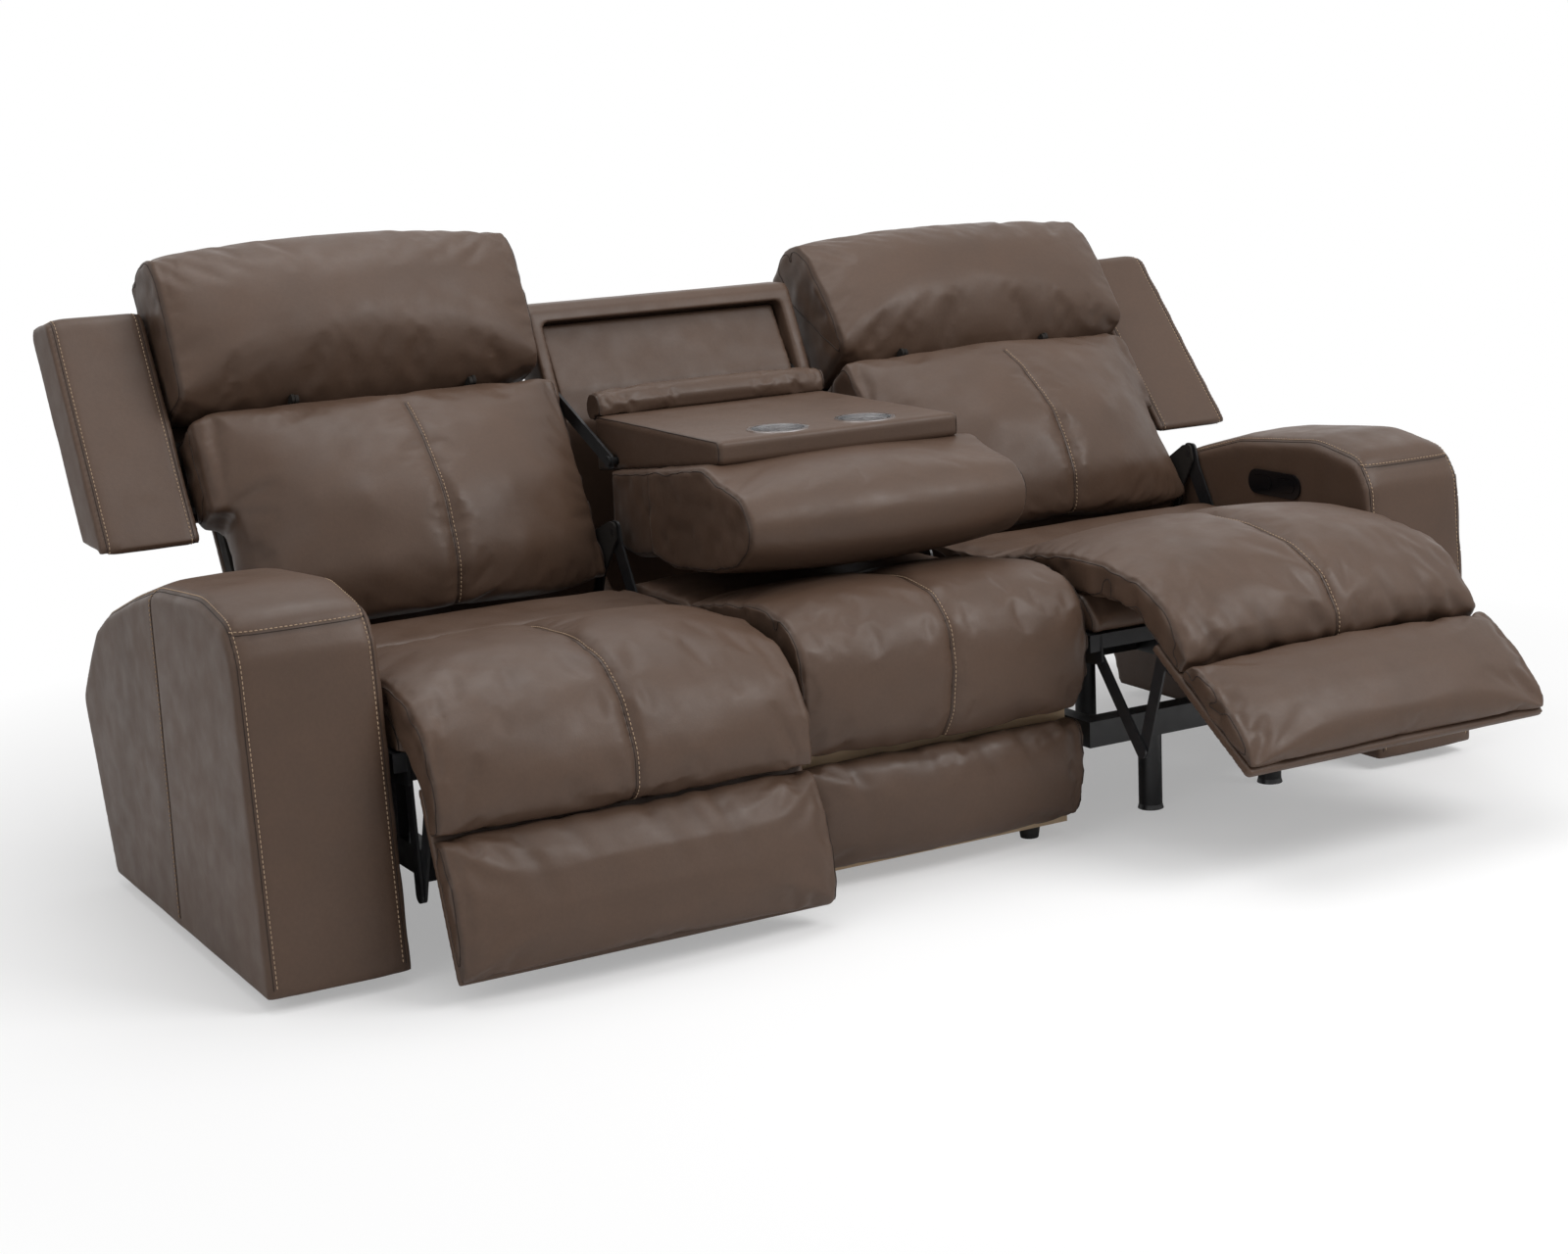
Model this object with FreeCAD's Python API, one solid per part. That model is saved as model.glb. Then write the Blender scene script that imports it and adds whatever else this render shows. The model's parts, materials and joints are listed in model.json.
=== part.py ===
"""Three-seat power reclining sofa with a drop-down console, built as separate pieces, in mm."""
import FreeCAD, Part
import math
import os

# Axes while building: X to the viewer's right, Y to the back from the arms' front plane, Z up.
# The end seats are drawn closed and upright on the right, then posed, and mirrored for the left.

# overall sizes
SOFA_WIDTH = 2240.0
ARM_WIDTH = 214.0
HALF_WIDTH = SOFA_WIDTH / 2
ARM_INNER = HALF_WIDTH - ARM_WIDTH
MIDDLE_HALF = 266.0
SEAT_GAP = 11.0
SEAT_IN = MIDDLE_HALF + SEAT_GAP
SEAT_OUT = ARM_INNER - 7.0
SEAT_MID = (SEAT_IN + SEAT_OUT) / 2
PAD_IN = SEAT_IN + 7.0
PAD_OUT = SEAT_OUT - 7.0
PANEL = 18.0
STEEL = 4.0
PIN_R = 4.0
BIG_PIN_R = 6.0
RUN_FIT = 0.05

# heights and depths of the seats
FLOOR_GAP = 20.0
DECK_Z = 328.0
CORE_TOP = 390.0
SEAT_TOP = 417.0
CORE_FRONT = 66.0
CORE_REAR = 566.0
PAD_SEAM_Y = 372.0
MIDDLE_SEAM_Y = 347.0
BOARD_FRONT_Y = 44.0

# motion of an end seat
SLIDE_PER_DEGREE = 1.5
SLIDE_SLOPE = 8.0
FOOTREST_CENTRE = (30.2, 449.5)
FOLD = (2.0, 216.0)
RECLINE_PIVOT = (600.0, 500.0)
BACK_FOOT = (604.0, 418.0)
BACK_LEAN = 30.5
HEAD_PIVOT_UW = (392.0, -5.0)
LINK_ANCHOR = (82.0, 290.0)
BRACKET_PIN_TN = (-61.0, -69.0)
ROD_PER_DEGREE = 1.2

# console
HINGE = (655.0, 610.0)
POST_WIDTH = 24.0
TRAY_SIDE_GAP = 13.0
TRAY_HALF = MIDDLE_HALF - POST_WIDTH - TRAY_SIDE_GAP
TRAY_TOP = 680.0
TRAY_FRONT_Y = 280.0
TRAY_REAR_Y = 732.0
TRAY_FRONT_BOTTOM = 641.0
TRAY_REAR_BOTTOM = 583.0
CUP_X = 83.0
CUP_Y = 342.0
CUP_R = 46.0
CUP_WALL = 1.5
CUP_FLOOR_Z = 612.0
LOBE_HALF = MIDDLE_HALF - 4.0
CREASE_Y = 480.0

# poses shown in the reference picture
POSES = {
    "left": {"footrest": 17.0, "recline": 0.0, "head": 4.0},
    "right": {"footrest": 52.0, "recline": 10.0, "head": 0.0},
}


def vec(x, y, z):
    return FreeCAD.Vector(x, y, z)


def block(x0, x1, y0, y1, z0, z1):
    return Part.makeBox(x1 - x0, y1 - y0, z1 - z0, vec(x0, y0, z0))


def rod_x(y, z, radius, x0, x1):
    return Part.makeCylinder(radius, x1 - x0, vec(x0, y, z), vec(1, 0, 0))


def rod_y(x, z, radius, y0, y1):
    return Part.makeCylinder(radius, y1 - y0, vec(x, y0, z), vec(0, 1, 0))


def rod_z(x, y, radius, z0, z1):
    return Part.makeCylinder(radius, z1 - z0, vec(x, y, z0))


def joined(shapes):
    result = shapes[0].multiFuse(shapes[1:]) if len(shapes) > 1 else shapes[0]
    return result.removeSplitter()


def group(shapes):
    return Part.makeCompound(shapes)


def corner(before, point, after, radius):
    """Two tangent points and the middle of the arc that rounds one corner."""
    ay, az = before[0] - point[0], before[1] - point[1]
    by, bz = after[0] - point[0], after[1] - point[1]
    la, lb = math.hypot(ay, az), math.hypot(by, bz)
    ay, az, by, bz = ay / la, az / la, by / lb, bz / lb
    half = math.acos(max(-1.0, min(1.0, ay * by + az * bz))) / 2
    reach = min(radius / math.tan(half), 0.45 * la, 0.45 * lb)
    radius = reach * math.tan(half)
    my, mz = ay + by, az + bz
    lm = math.hypot(my, mz)
    to_mid = radius / math.sin(half) - radius
    first = (point[0] + ay * reach, point[1] + az * reach)
    second = (point[0] + by * reach, point[1] + bz * reach)
    mid = (point[0] + my / lm * to_mid, point[1] + mz / lm * to_mid)
    return first, mid, second


def wire(points, x):
    """Closed outline in the plane at x; a third number rounds that corner."""
    count = len(points)
    spots = []
    for i in range(count):
        p = points[i]
        if len(p) > 2 and p[2] > 0:
            spots.append(corner(points[i - 1], p, points[(i + 1) % count], p[2]))
        else:
            spots.append((p, None, p))
    edges = []
    for i in range(count):
        first, mid, second = spots[i]
        if mid:
            edges.append(Part.Arc(vec(x, *first[:2]), vec(x, *mid), vec(x, *second[:2])).toShape())
        start = second
        end = spots[(i + 1) % count][0]
        edges.append(Part.LineSegment(vec(x, *start[:2]), vec(x, *end[:2])).toShape())
    return Part.Wire(edges)


def plate(points, x0, x1, holes=()):
    """Outline pushed from x0 to x1, with round holes given as (y, z, radius)."""
    solid = Part.Face(wire(points, x0)).extrude(vec(x1 - x0, 0, 0))
    for y, z, radius in holes:
        solid = solid.cut(rod_x(y, z, radius, min(x0, x1) - 1, max(x0, x1) + 1))
    return solid


def between(side, mid, share):
    """Outline part of the way from the side outline to the middle one."""
    result = []
    for a, b in zip(side, mid):
        ra = a[2] if len(a) > 2 else 0.0
        rb = b[2] if len(b) > 2 else 0.0
        result.append((a[0] + (b[0] - a[0]) * share, a[1] + (b[1] - a[1]) * share,
                       ra + (rb - ra) * share))
    return result


def loft(side, mid, stations):
    wires = [wire(between(side, mid, share), x) for x, share in stations]
    return Part.makeLoft(wires, True, True)


def crown_stations(x0, x1, seams=(), depth=0.06, power=2.4):
    """Places along x with the share of the crown; a sewn seam pulls the crown in."""
    centre, half = (x0 + x1) / 2, (x1 - x0) / 2
    places = [x0 + (x1 - x0) * f for f in (0, 0.015, 0.04, 0.09, 0.17, 0.3)]
    places += [2 * centre - x for x in places]
    if not seams:
        places.append(centre)
    for s in seams:
        places += [s - 20, s, s + 20]
    stations = []
    for x in sorted(places):
        share = 1 - (1 - min(x - x0, x1 - x) / half) ** power
        if any(abs(x - s) < 1 for s in seams):
            share -= depth
        stations.append((x, share))
    return stations


def cushion(side, mid, x0, x1, seams=(), depth=0.06, power=2.4):
    return loft(side, mid, crown_stations(x0, x1, seams, depth, power))


def both_flanks(make):
    """The same piece on the inner and the outer flank of an end seat."""
    inner = make()
    outer = inner.mirror(vec(SEAT_MID, 0, 0), vec(1, 0, 0))
    return [inner, outer]


def turned(shape, centre, degrees):
    """Turn about X so that the top goes to the rear for positive degrees."""
    result = shape.copy()
    result.rotate(vec(0, centre[0], centre[1]), vec(1, 0, 0), -degrees)
    return result


def shifted(shape, dy, dz):
    result = shape.copy()
    result.translate(vec(0, dy, dz))
    return result


def turn_point(point, centre, degrees):
    a = math.radians(degrees)
    y, z = point[0] - centre[0], point[1] - centre[1]
    return (centre[0] + y * math.cos(a) + z * math.sin(a),
            centre[1] - y * math.sin(a) + z * math.cos(a))


# directions and points of the moving groups

def slide_step(footrest):
    travel = SLIDE_PER_DEGREE * footrest
    slope = math.radians(SLIDE_SLOPE)
    return -travel * math.cos(slope), travel * math.sin(slope)


def back_point(u, w, radius=0.0):
    """Point at u up along the leaning back and w to its front."""
    a = math.radians(BACK_LEAN)
    return (BACK_FOOT[0] + u * math.sin(a) - w * math.cos(a),
            BACK_FOOT[1] + u * math.cos(a) + w * math.sin(a), radius)


def back_outline(points):
    return [back_point(*p) for p in points]


def rest_point(t, n, radius=0.0):
    """Point at t down along the closed footrest from its fold and n to its front."""
    return (FOLD[0] - n, FOLD[1] - t, radius)


def rest_outline(points):
    return [rest_point(*p) for p in points]


HEAD_PIVOT = back_point(*HEAD_PIVOT_UW)[:2]
BRACKET_PIN = rest_point(*BRACKET_PIN_TN)[:2]


def elbow(footrest):
    """Where the two links meet: a parallelogram that turns the footrest about its far centre."""
    pin = turn_point(BRACKET_PIN, FOOTREST_CENTRE, footrest)
    return (LINK_ANCHOR[0] + pin[0] - FOOTREST_CENTRE[0],
            LINK_ANCHOR[1] + pin[1] - FOOTREST_CENTRE[1])


# layers of the footrest mechanism across x, from the seat rail to the outside of the links
PLATE_X = SEAT_IN + PANEL + 2.0
LINK_A_X = PLATE_X + STEEL + 1.0
LINK_C_X = LINK_A_X + STEEL + 1.0
BRACKET_X = LINK_C_X + STEEL + 1.0
RAIL_X = BRACKET_X + STEEL + 6.0
RAIL_W = 16.0
BASE_X = RAIL_X
BASE_Z0 = 130.0
BASE_Z1 = 174.0
BASE_FRONT_Y = 58.0
BASE_REAR_Y = 600.0
RAIL_REAR_TOP = (600.0, 204.0)
RAIL_FRONT_Y = 160.0
SHOE_FIT = 0.3


def rail_top(y, above=0.0):
    slope = math.radians(SLIDE_SLOPE)
    return RAIL_REAR_TOP[1] + (RAIL_REAR_TOP[0] - y) * math.tan(slope) + above / math.cos(slope)


def sloped(y0, y1, low, high):
    """Outline between two lines that run along the slide."""
    return [(y0, rail_top(y0, low)), (y0, rail_top(y0, high)),
            (y1, rail_top(y1, high)), (y1, rail_top(y1, low))]


# root pieces

ARM_SIDE = [(10, 20, 6), (46, 492, 40), (72, 530, 40), (183, 552, 150), (390, 534, 150),
            (538, 496, 100), (683, 452, 80), (745, 422, 40), (790, 380, 40), (864, 298, 30),
            (766, 20, 0)]
ARM_MID = [(3, 20, 6), (39, 500, 50), (68, 556, 50), (183, 577, 150), (390, 560, 150),
           (538, 520, 100), (683, 474, 80), (749, 440, 40), (800, 392, 40), (878, 298, 40),
           (770, 20, 0)]
ARM_SHARES = ((0, 0.0), (6, 0.45), (19, 0.75), (44, 0.93), (107, 1.0))
CAVITY = [(32, FLOOR_GAP), (66, 470), (180, 500), (380, 486), (560, 440), (700, 390), (792, 290),
          (722, FLOOR_GAP)]
ARM_WALL = 18.0
PANEL_CENTRE = (286.0, 478.0)
BEZEL_LENGTH = 142.0
BEZEL_HEIGHT = 45.0
BEZEL_THICK = 3.0
ROCKER_LENGTH = 50.0
ROCKER_HEIGHT = 24.0
ROCKER_STEP = 31.0
POCKET_DEPTH = 12.0


def oval(length, height, x0, x1, dy=0.0):
    y, z = PANEL_CENTRE[0] + dy, PANEL_CENTRE[1]
    reach = length / 2 - height / 2
    bar = block(x0, x1, y - reach, y + reach, z - height / 2, z + height / 2)
    ends = [rod_x(y + s * reach, z, height / 2, x0, x1) for s in (-1, 1)]
    return joined([bar] + ends)


def cavity_inset(step):
    low = FLOOR_GAP - 2
    return [(32 + step, low), (66 + step, 470 - step), (180, 500 - step), (380, 486 - step),
            (560 - step / 2, 440 - step), (700 - step, 390 - step), (792 - 1.4 * step, 290),
            (722 - step, low)]


def arm_cover():
    stations = [(ARM_INNER + d, s) for d, s in ARM_SHARES]
    stations += [(HALF_WIDTH - d, s) for d, s in reversed(ARM_SHARES[:-1])]
    solid = loft(ARM_SIDE, ARM_MID, stations)
    solid = solid.cut(plate(CAVITY, ARM_INNER + ARM_WALL, HALF_WIDTH - ARM_WALL))
    pocket = oval(BEZEL_LENGTH - 10, BEZEL_HEIGHT - 10, ARM_INNER - 1, ARM_INNER + POCKET_DEPTH)
    return solid.cut(pocket)


def arm_frame():
    x0, x1 = ARM_INNER + ARM_WALL, HALF_WIDTH - ARM_WALL
    low = FLOOR_GAP
    solid = plate(CAVITY, x0, x1)
    hollow = plate(cavity_inset(PANEL), x0 + PANEL, x1 - PANEL)
    solid = solid.cut(hollow)
    for y, z, radius in ((180, 330, 95), (400, 300, 110), (620, 250, 80)):
        solid = solid.cut(rod_x(y, z, radius, x0 - 1, x1 + 1))
    rails = [block(x0, x1, y, y + 60, low, low + PANEL) for y in (60, 600)]
    return joined([solid] + rails)


def control_bezel():
    x1 = ARM_INNER
    solid = oval(BEZEL_LENGTH, BEZEL_HEIGHT, x1 - BEZEL_THICK, x1)
    for side in (-1, 1):
        window = oval(ROCKER_LENGTH + 1.2, ROCKER_HEIGHT + 1.2, x1 - BEZEL_THICK - 1, x1 + 1,
                      side * ROCKER_STEP)
        solid = solid.cut(window)
    return solid


def rocker(side):
    x0 = ARM_INNER - BEZEL_THICK - 0.8
    cap = oval(ROCKER_LENGTH, ROCKER_HEIGHT, x0, ARM_INNER + 1.0, side * ROCKER_STEP)
    y, z = PANEL_CENTRE[0] + side * ROCKER_STEP, PANEL_CENTRE[1]
    stem = block(ARM_INNER, ARM_INNER + 8, y - 4, y + 4, z - 8, z + 8)
    return joined([cap, stem])


def base_frame():
    """Steel base: a front bar and two long bars under each end seat and one rear bar."""
    parts = [block(-ARM_INNER, ARM_INNER, BASE_REAR_Y, BASE_REAR_Y + 40, BASE_Z0, BASE_Z1)]
    for sign in (-1, 1):
        flank = []
        x0, x1 = BASE_X, 2 * SEAT_MID - BASE_X
        flank.append(block(x0, x1, BASE_FRONT_Y, BASE_FRONT_Y + 40, BASE_Z0, BASE_Z1))
        for a, b in ((x0, x0 + 30), (x1 - 30, x1)):
            flank.append(block(a, b, BASE_FRONT_Y + 40, BASE_REAR_Y, BASE_Z0, BASE_Z1))
        track = [(RAIL_FRONT_Y, BASE_Z1 - 1), (RAIL_FRONT_Y, rail_top(RAIL_FRONT_Y)),
                 (BASE_REAR_Y + 20, rail_top(BASE_REAR_Y + 20)), (BASE_REAR_Y + 20, BASE_Z1 - 1)]
        for a in (x0, x1 - RAIL_W):
            flank.append(plate(track, a, a + RAIL_W, [(y, 200, 14) for y in (250, 340)]))
        for part in flank:
            parts.append(part if sign > 0 else part.mirror(vec(0, 0, 0), vec(1, 0, 0)))
    return joined(parts)


def frame_legs():
    legs = []
    for x in (SEAT_MID - 129, SEAT_MID + 129):
        for y in (BASE_FRONT_Y + 20, BASE_REAR_Y + 20):
            for sign in (-1, 1):
                foot = Part.makeCone(22, 20, 8, vec(sign * x, y, 0))
                leg = rod_z(sign * x, y, 20, 8, BASE_Z0)
                legs.append(joined([foot, leg]))
    return group(legs)


def glide_feet():
    feet = []
    arm_mid = ARM_INNER + ARM_WIDTH / 2
    for sign in (-1, 1):
        for x, y in ((arm_mid, 90), (arm_mid, 630), (MIDDLE_HALF - 66, 64)):
            foot = Part.makeCone(15, 18, FLOOR_GAP, vec(sign * x, y, 0))
            feet.append(foot)
    return group(feet)


def middle_seat_frame():
    half = MIDDLE_HALF - 4
    rear = BASE_REAR_Y
    front = block(-half, half, BOARD_FRONT_Y, BOARD_FRONT_Y + PANEL, FLOOR_GAP, DECK_Z)
    parts = [front]
    y1 = BOARD_FRONT_Y + PANEL
    for x0 in (-half, half - PANEL):
        parts.append(block(x0, x0 + PANEL, y1, rear, BASE_Z0, DECK_Z))
    parts.append(block(-half, half, rear - PANEL, rear, BASE_Z1 + 20, DECK_Z))
    parts.append(block(-half, half, y1, y1 + 60, FLOOR_GAP, FLOOR_GAP + PANEL))
    for y in (200, 330, 460):
        parts.append(block(-half + PANEL, half - PANEL, y, y + 50, DECK_Z - 12, DECK_Z))
    return joined(parts)


def middle_seat_cushion():
    x1 = MIDDLE_HALF - 2
    seam = MIDDLE_SEAM_Y
    mid = [(CORE_FRONT, DECK_Z), (CORE_FRONT, CORE_TOP), (seam, CORE_TOP), (seam, SEAT_TOP, 6),
           (560, SEAT_TOP, 20), (590, 400, 14), (590, DECK_Z)]
    side = [(p[0], p[1] - (5 if p[1] > CORE_TOP else 0)) + tuple(p[2:]) for p in mid]
    return cushion(side, mid, -x1, x1)


def middle_knee_pad():
    x1 = MIDDLE_HALF
    inner = [(BOARD_FRONT_Y, 213), (BOARD_FRONT_Y, DECK_Z), (CORE_FRONT, DECK_Z),
             (CORE_FRONT, CORE_TOP), (MIDDLE_SEAM_Y - 0.5, CORE_TOP)]
    mid = [(MIDDLE_SEAM_Y - 0.5, SEAT_TOP, 0), (220, 448, 80), (110, 461, 80), (20, 449, 60),
           (-28, 402, 50), (-39, 335, 60), (-28, 258, 30), (4, 213, 0)] + inner
    side = [(MIDDLE_SEAM_Y - 0.5, SEAT_TOP - 5, 0), (220, 434, 80), (110, 446, 80), (26, 434, 60),
            (-14, 396, 50), (-25, 335, 60), (-14, 260, 30), (8, 220, 0)] + inner
    return cushion(side, mid, -x1, x1, (0.0,), 0.35)


def middle_lower_pad():
    x1 = MIDDLE_HALF
    y = BOARD_FRONT_Y
    mid = [(8, 206, 8), (-13, 188, 20), (-25, 140, 50), (-18, 80, 50), (4, 36, 25),
           (26, 24, 8), (y, 24, 0), (y, 206, 0)]
    side = [(14, 202, 8), (0, 186, 20), (-11, 140, 50), (-6, 82, 50), (12, 42, 25),
            (30, 32, 8), (y, 32, 0), (y, 202, 0)]
    return cushion(side, mid, -x1, x1)


# an end seat, closed and upright, on the right

def seat_frame():
    rear = CORE_REAR
    parts = [block(SEAT_IN, SEAT_OUT, CORE_FRONT, CORE_FRONT + 24, DECK_Z - 24, DECK_Z),
             block(SEAT_IN, SEAT_OUT, rear - 21, rear, DECK_Z - 28, DECK_Z)]
    pin_y, pin_z = RECLINE_PIVOT
    ear = [(505, DECK_Z), (505, DECK_Z - 28), (rear, DECK_Z - 28), (rear, 400),
           (pin_y + 20, pin_z - 12), (pin_y + 14, pin_z + 18, 10), (pin_y - 14, pin_z + 18, 10),
           (pin_y - 24, pin_z - 20), (530, 400)]
    web = [(CORE_FRONT, DECK_Z), (62, 277, 8), (96, 275, 8), (150, 268), (330, 250),
           (330, rail_top(330, -18)), (580, rail_top(580, -18)), (560, DECK_Z)]

    def flank():
        rail = block(SEAT_IN, SEAT_IN + PANEL + 2, CORE_FRONT, rear, DECK_Z - 28, DECK_Z)
        plate_x = PLATE_X
        side_plate = plate(web, plate_x, plate_x + STEEL, [(450, 280, 22)])
        pin = rod_x(LINK_ANCHOR[0], LINK_ANCHOR[1], PIN_R, plate_x, LINK_A_X + STEEL)
        low = SHOE_FIT
        lip0 = RAIL_X - SHOE_FIT
        lip1 = RAIL_X + RAIL_W + SHOE_FIT
        top = plate(sloped(330, 580, low, low + 5), plate_x, lip1 + 4)
        lips = [plate(sloped(330, 580, -16, low), lip0 - 3.5, lip0),
                plate(sloped(330, 580, -16, low), lip1, lip1 + 4)]
        ear_plate = plate(ear, SEAT_IN - 4, SEAT_IN)
        big_pin = rod_x(pin_y, pin_z, BIG_PIN_R, SEAT_IN - 4, SEAT_IN + 5.5)
        return joined([rail, side_plate, pin, top, ear_plate, big_pin] + lips)

    return joined(parts + both_flanks(flank))


SPRING_MARGIN = 101.0
SPRING_COUNT = 5


def seat_springs():
    """Flat zigzag spring bands hooked between the front and the rear rail."""
    y0, y1 = CORE_FRONT + 24, CORE_REAR - 21
    z0, z1 = DECK_Z - 4, DECK_Z
    springs = []
    count = 9
    step = (y1 - y0) / count
    pitch = (SEAT_OUT - SEAT_IN - 2 * SPRING_MARGIN) / (SPRING_COUNT - 1)
    for i in range(SPRING_COUNT):
        x = SEAT_IN + SPRING_MARGIN + i * pitch
        bars = []
        for k in range(count):
            ya = y0 + k * step
            swing = 22 if k % 2 else -22
            bars.append(block(x + swing - 2, x + swing + 2, ya, ya + step, z0, z1))
            if k:
                bars.append(block(x - 24, x + 24, ya - 2, ya + 2, z0, z1))
        springs.append(joined(bars))
    return group(springs)


CORE_CHAMFER = 38.0


def seat_cushion():
    seam = PAD_SEAM_Y
    mid = [(CORE_FRONT, DECK_Z, 0), (CORE_FRONT, CORE_TOP - CORE_CHAMFER, 8),
           (CORE_FRONT + CORE_CHAMFER, CORE_TOP, 8), (seam, CORE_TOP, 0), (seam, SEAT_TOP, 6),
           (540, SEAT_TOP, 20), (CORE_REAR, 404, 12), (CORE_REAR, DECK_Z, 0)]
    side = [(p[0], p[1] - (5 if p[1] > CORE_TOP else 0)) + tuple(p[2:]) for p in mid]
    return cushion(side, mid, PAD_IN, PAD_OUT)


def knee_pad(name):
    """Skin pad over the seat front, drawn in the pose of the picture."""
    footrest = POSES[name]["footrest"]
    seam = PAD_SEAM_Y - 0.5
    board_front = board_front_n(-1.0)
    ends = []
    for t, n in ((-1.0, -4.0), (-1.0, board_front + 0.6), (-74.0, board_front_n(-72.0) + 0.3)):
        ends.append(turn_point(rest_point(t, n)[:2], FOOTREST_CENTRE, footrest) + (0.0,))
    chamfer_low = (CORE_FRONT, CORE_TOP - CORE_CHAMFER, 0)
    chamfer_high = (CORE_FRONT + CORE_CHAMFER, CORE_TOP, 0)
    if name == "left":
        mid = [(seam, SEAT_TOP, 0), (250, 442, 90), (112, 451, 90), (14, 431, 80),
               (-48, 382, 60), (-83, 312, 60), (-84, 254, 16)] + ends
        side = [(seam, SEAT_TOP - 5, 0), (250, 420, 90), (112, 423, 90), (24, 406, 80),
                (-28, 366, 60), (-59, 306, 60), (-63, 256, 16)] + ends
        inner = [(30, 322, 0), chamfer_low, chamfer_high, (seam, CORE_TOP, 0)]
    else:
        mid = [(seam, SEAT_TOP, 0), (250, 462, 90), (140, 483, 90), (50, 481, 80),
               (-58, 461, 80), (-132, 424, 50), (-170, 362, 22)] + ends
        side = [(seam, SEAT_TOP - 5, 0), (250, 434, 90), (140, 448, 90), (50, 446, 80),
                (-50, 433, 80), (-112, 403, 50), (-152, 352, 22)] + ends
        inner = [(-46, 378, 20), (10, CORE_TOP + 1, 10), chamfer_high, (seam, CORE_TOP, 0)]
    return cushion(side + inner, mid + inner, PAD_IN, PAD_OUT, (SEAT_MID,), 0.22)


BOARD_TOP_T = -72.0
BOARD_END_T = 208.0
BOARD_TOP_N = -40.0
BOARD_END_N = -24.0
BOARD_THICK = 16.0
LOWER_PAD_T = 210.0


def board_front_n(t):
    share = (t - BOARD_TOP_T) / (BOARD_END_T - BOARD_TOP_T)
    return BOARD_TOP_N + share * (BOARD_END_N - BOARD_TOP_N)


def ottoman_board():
    t0, t1 = BOARD_TOP_T, BOARD_END_T
    points = [(t0, board_front_n(t0)), (t1, board_front_n(t1)),
              (t1, board_front_n(t1) - BOARD_THICK), (t0, board_front_n(t0) - BOARD_THICK)]
    return plate(rest_outline(points), PAD_IN + 4, PAD_OUT - 4)


def lower_pad():
    t1 = LOWER_PAD_T
    rear0, rear1 = board_front_n(2.0), board_front_n(t1)
    mid = [(2, rear0), (2, -2, 6), (14, 16, 16), (60, 27, 50), (125, 26, 50), (180, 13, 40),
           (t1, -8, 14), (t1, rear1)]
    side = [(2, rear0), (4, -12, 6), (16, 2, 14), (60, 11, 40), (125, 11, 40), (178, 1, 30),
            (t1 - 5, -14, 10), (t1 - 3, rear1)]
    return cushion(rest_outline(side), rest_outline(mid), PAD_IN, PAD_OUT)


def ottoman_brackets():
    pin_t, pin_n = BRACKET_PIN_TN

    def rear_n(t):
        return board_front_n(t) - BOARD_THICK

    def flank():
        x0 = BRACKET_X
        points = [(-71, rear_n(-71)), (60, rear_n(60)), (48, rear_n(48) - 12, 4),
                  (-40, pin_n - 12, 8), (-71, pin_n - 11, 8)]
        ear = plate(rest_outline(points), x0, x0 + STEEL)
        foot_points = [(-60, rear_n(-60)), (50, rear_n(50)), (50, rear_n(50) - 3), (-60, rear_n(-60) - 3)]
        foot = plate(rest_outline(foot_points), x0, x0 + 30)
        pin = rod_x(BRACKET_PIN[0], BRACKET_PIN[1], PIN_R, LINK_C_X - 0.5, x0 + STEEL)
        return joined([ear, foot, pin])

    return group(both_flanks(flank))


def bar_between(a, b, half, x0, x1, hole_a, hole_b):
    """Flat link with round ends from a to b, with a bore at each end if given."""
    length = math.hypot(b[0] - a[0], b[1] - a[1])
    uy, uz = (b[0] - a[0]) / length, (b[1] - a[1]) / length
    ny, nz = -uz * half, uy * half
    points = [(a[0] + ny, a[1] + nz), (b[0] + ny, b[1] + nz), (b[0] - ny, b[1] - nz),
              (a[0] - ny, a[1] - nz)]
    bar = joined([plate(points, x0, x1), rod_x(a[0], a[1], half, x0, x1),
                  rod_x(b[0], b[1], half, x0, x1)])
    for centre, radius in ((a, hole_a), (b, hole_b)):
        if radius:
            bar = bar.cut(rod_x(centre[0], centre[1], radius, x0 - 1, x1 + 1))
    return bar


LINK_HALF = 12.0
ELBOW_FIT = 1.0


def front_links(footrest):
    meet = elbow(footrest)

    def flank():
        bar = bar_between(LINK_ANCHOR, meet, LINK_HALF, LINK_A_X, LINK_A_X + STEEL,
                          PIN_R + RUN_FIT, 0)
        pin = rod_x(meet[0], meet[1], PIN_R, LINK_A_X, LINK_C_X + STEEL + 0.5)
        return joined([bar, pin])

    return group(both_flanks(flank))


def rear_links(footrest):
    meet = elbow(footrest)
    pin = turn_point(BRACKET_PIN, FOOTREST_CENTRE, footrest)

    def flank():
        return bar_between(pin, meet, LINK_HALF, LINK_C_X, LINK_C_X + STEEL,
                           PIN_R + RUN_FIT, PIN_R + ELBOW_FIT)

    return group(both_flanks(flank))


ACTUATOR_Z = 262.0
ACTUATOR_R = 17.0
ROD_R = 9.0


def actuator_motor():
    x = SEAT_MID
    tube = rod_y(x, ACTUATOR_Z, ACTUATOR_R, 300, 500)
    bore = rod_y(x, ACTUATOR_Z, ROD_R + 0.5, 299, 490)
    gearbox = block(x - 30, x + 30, 500, 545, ACTUATOR_Z - 34, ACTUATOR_Z + 26)
    motor = rod_z(x, 524, 20, ACTUATOR_Z - 100, ACTUATOR_Z - 34)
    clevis = block(x - 14, x + 14, 520, 545, ACTUATOR_Z + 26, DECK_Z - 4)
    clevis = clevis.fuse(block(x - 14, x + 14, 535, 545, DECK_Z - 40, DECK_Z - 4))
    return joined([tube, gearbox, motor, clevis]).cut(bore)


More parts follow.
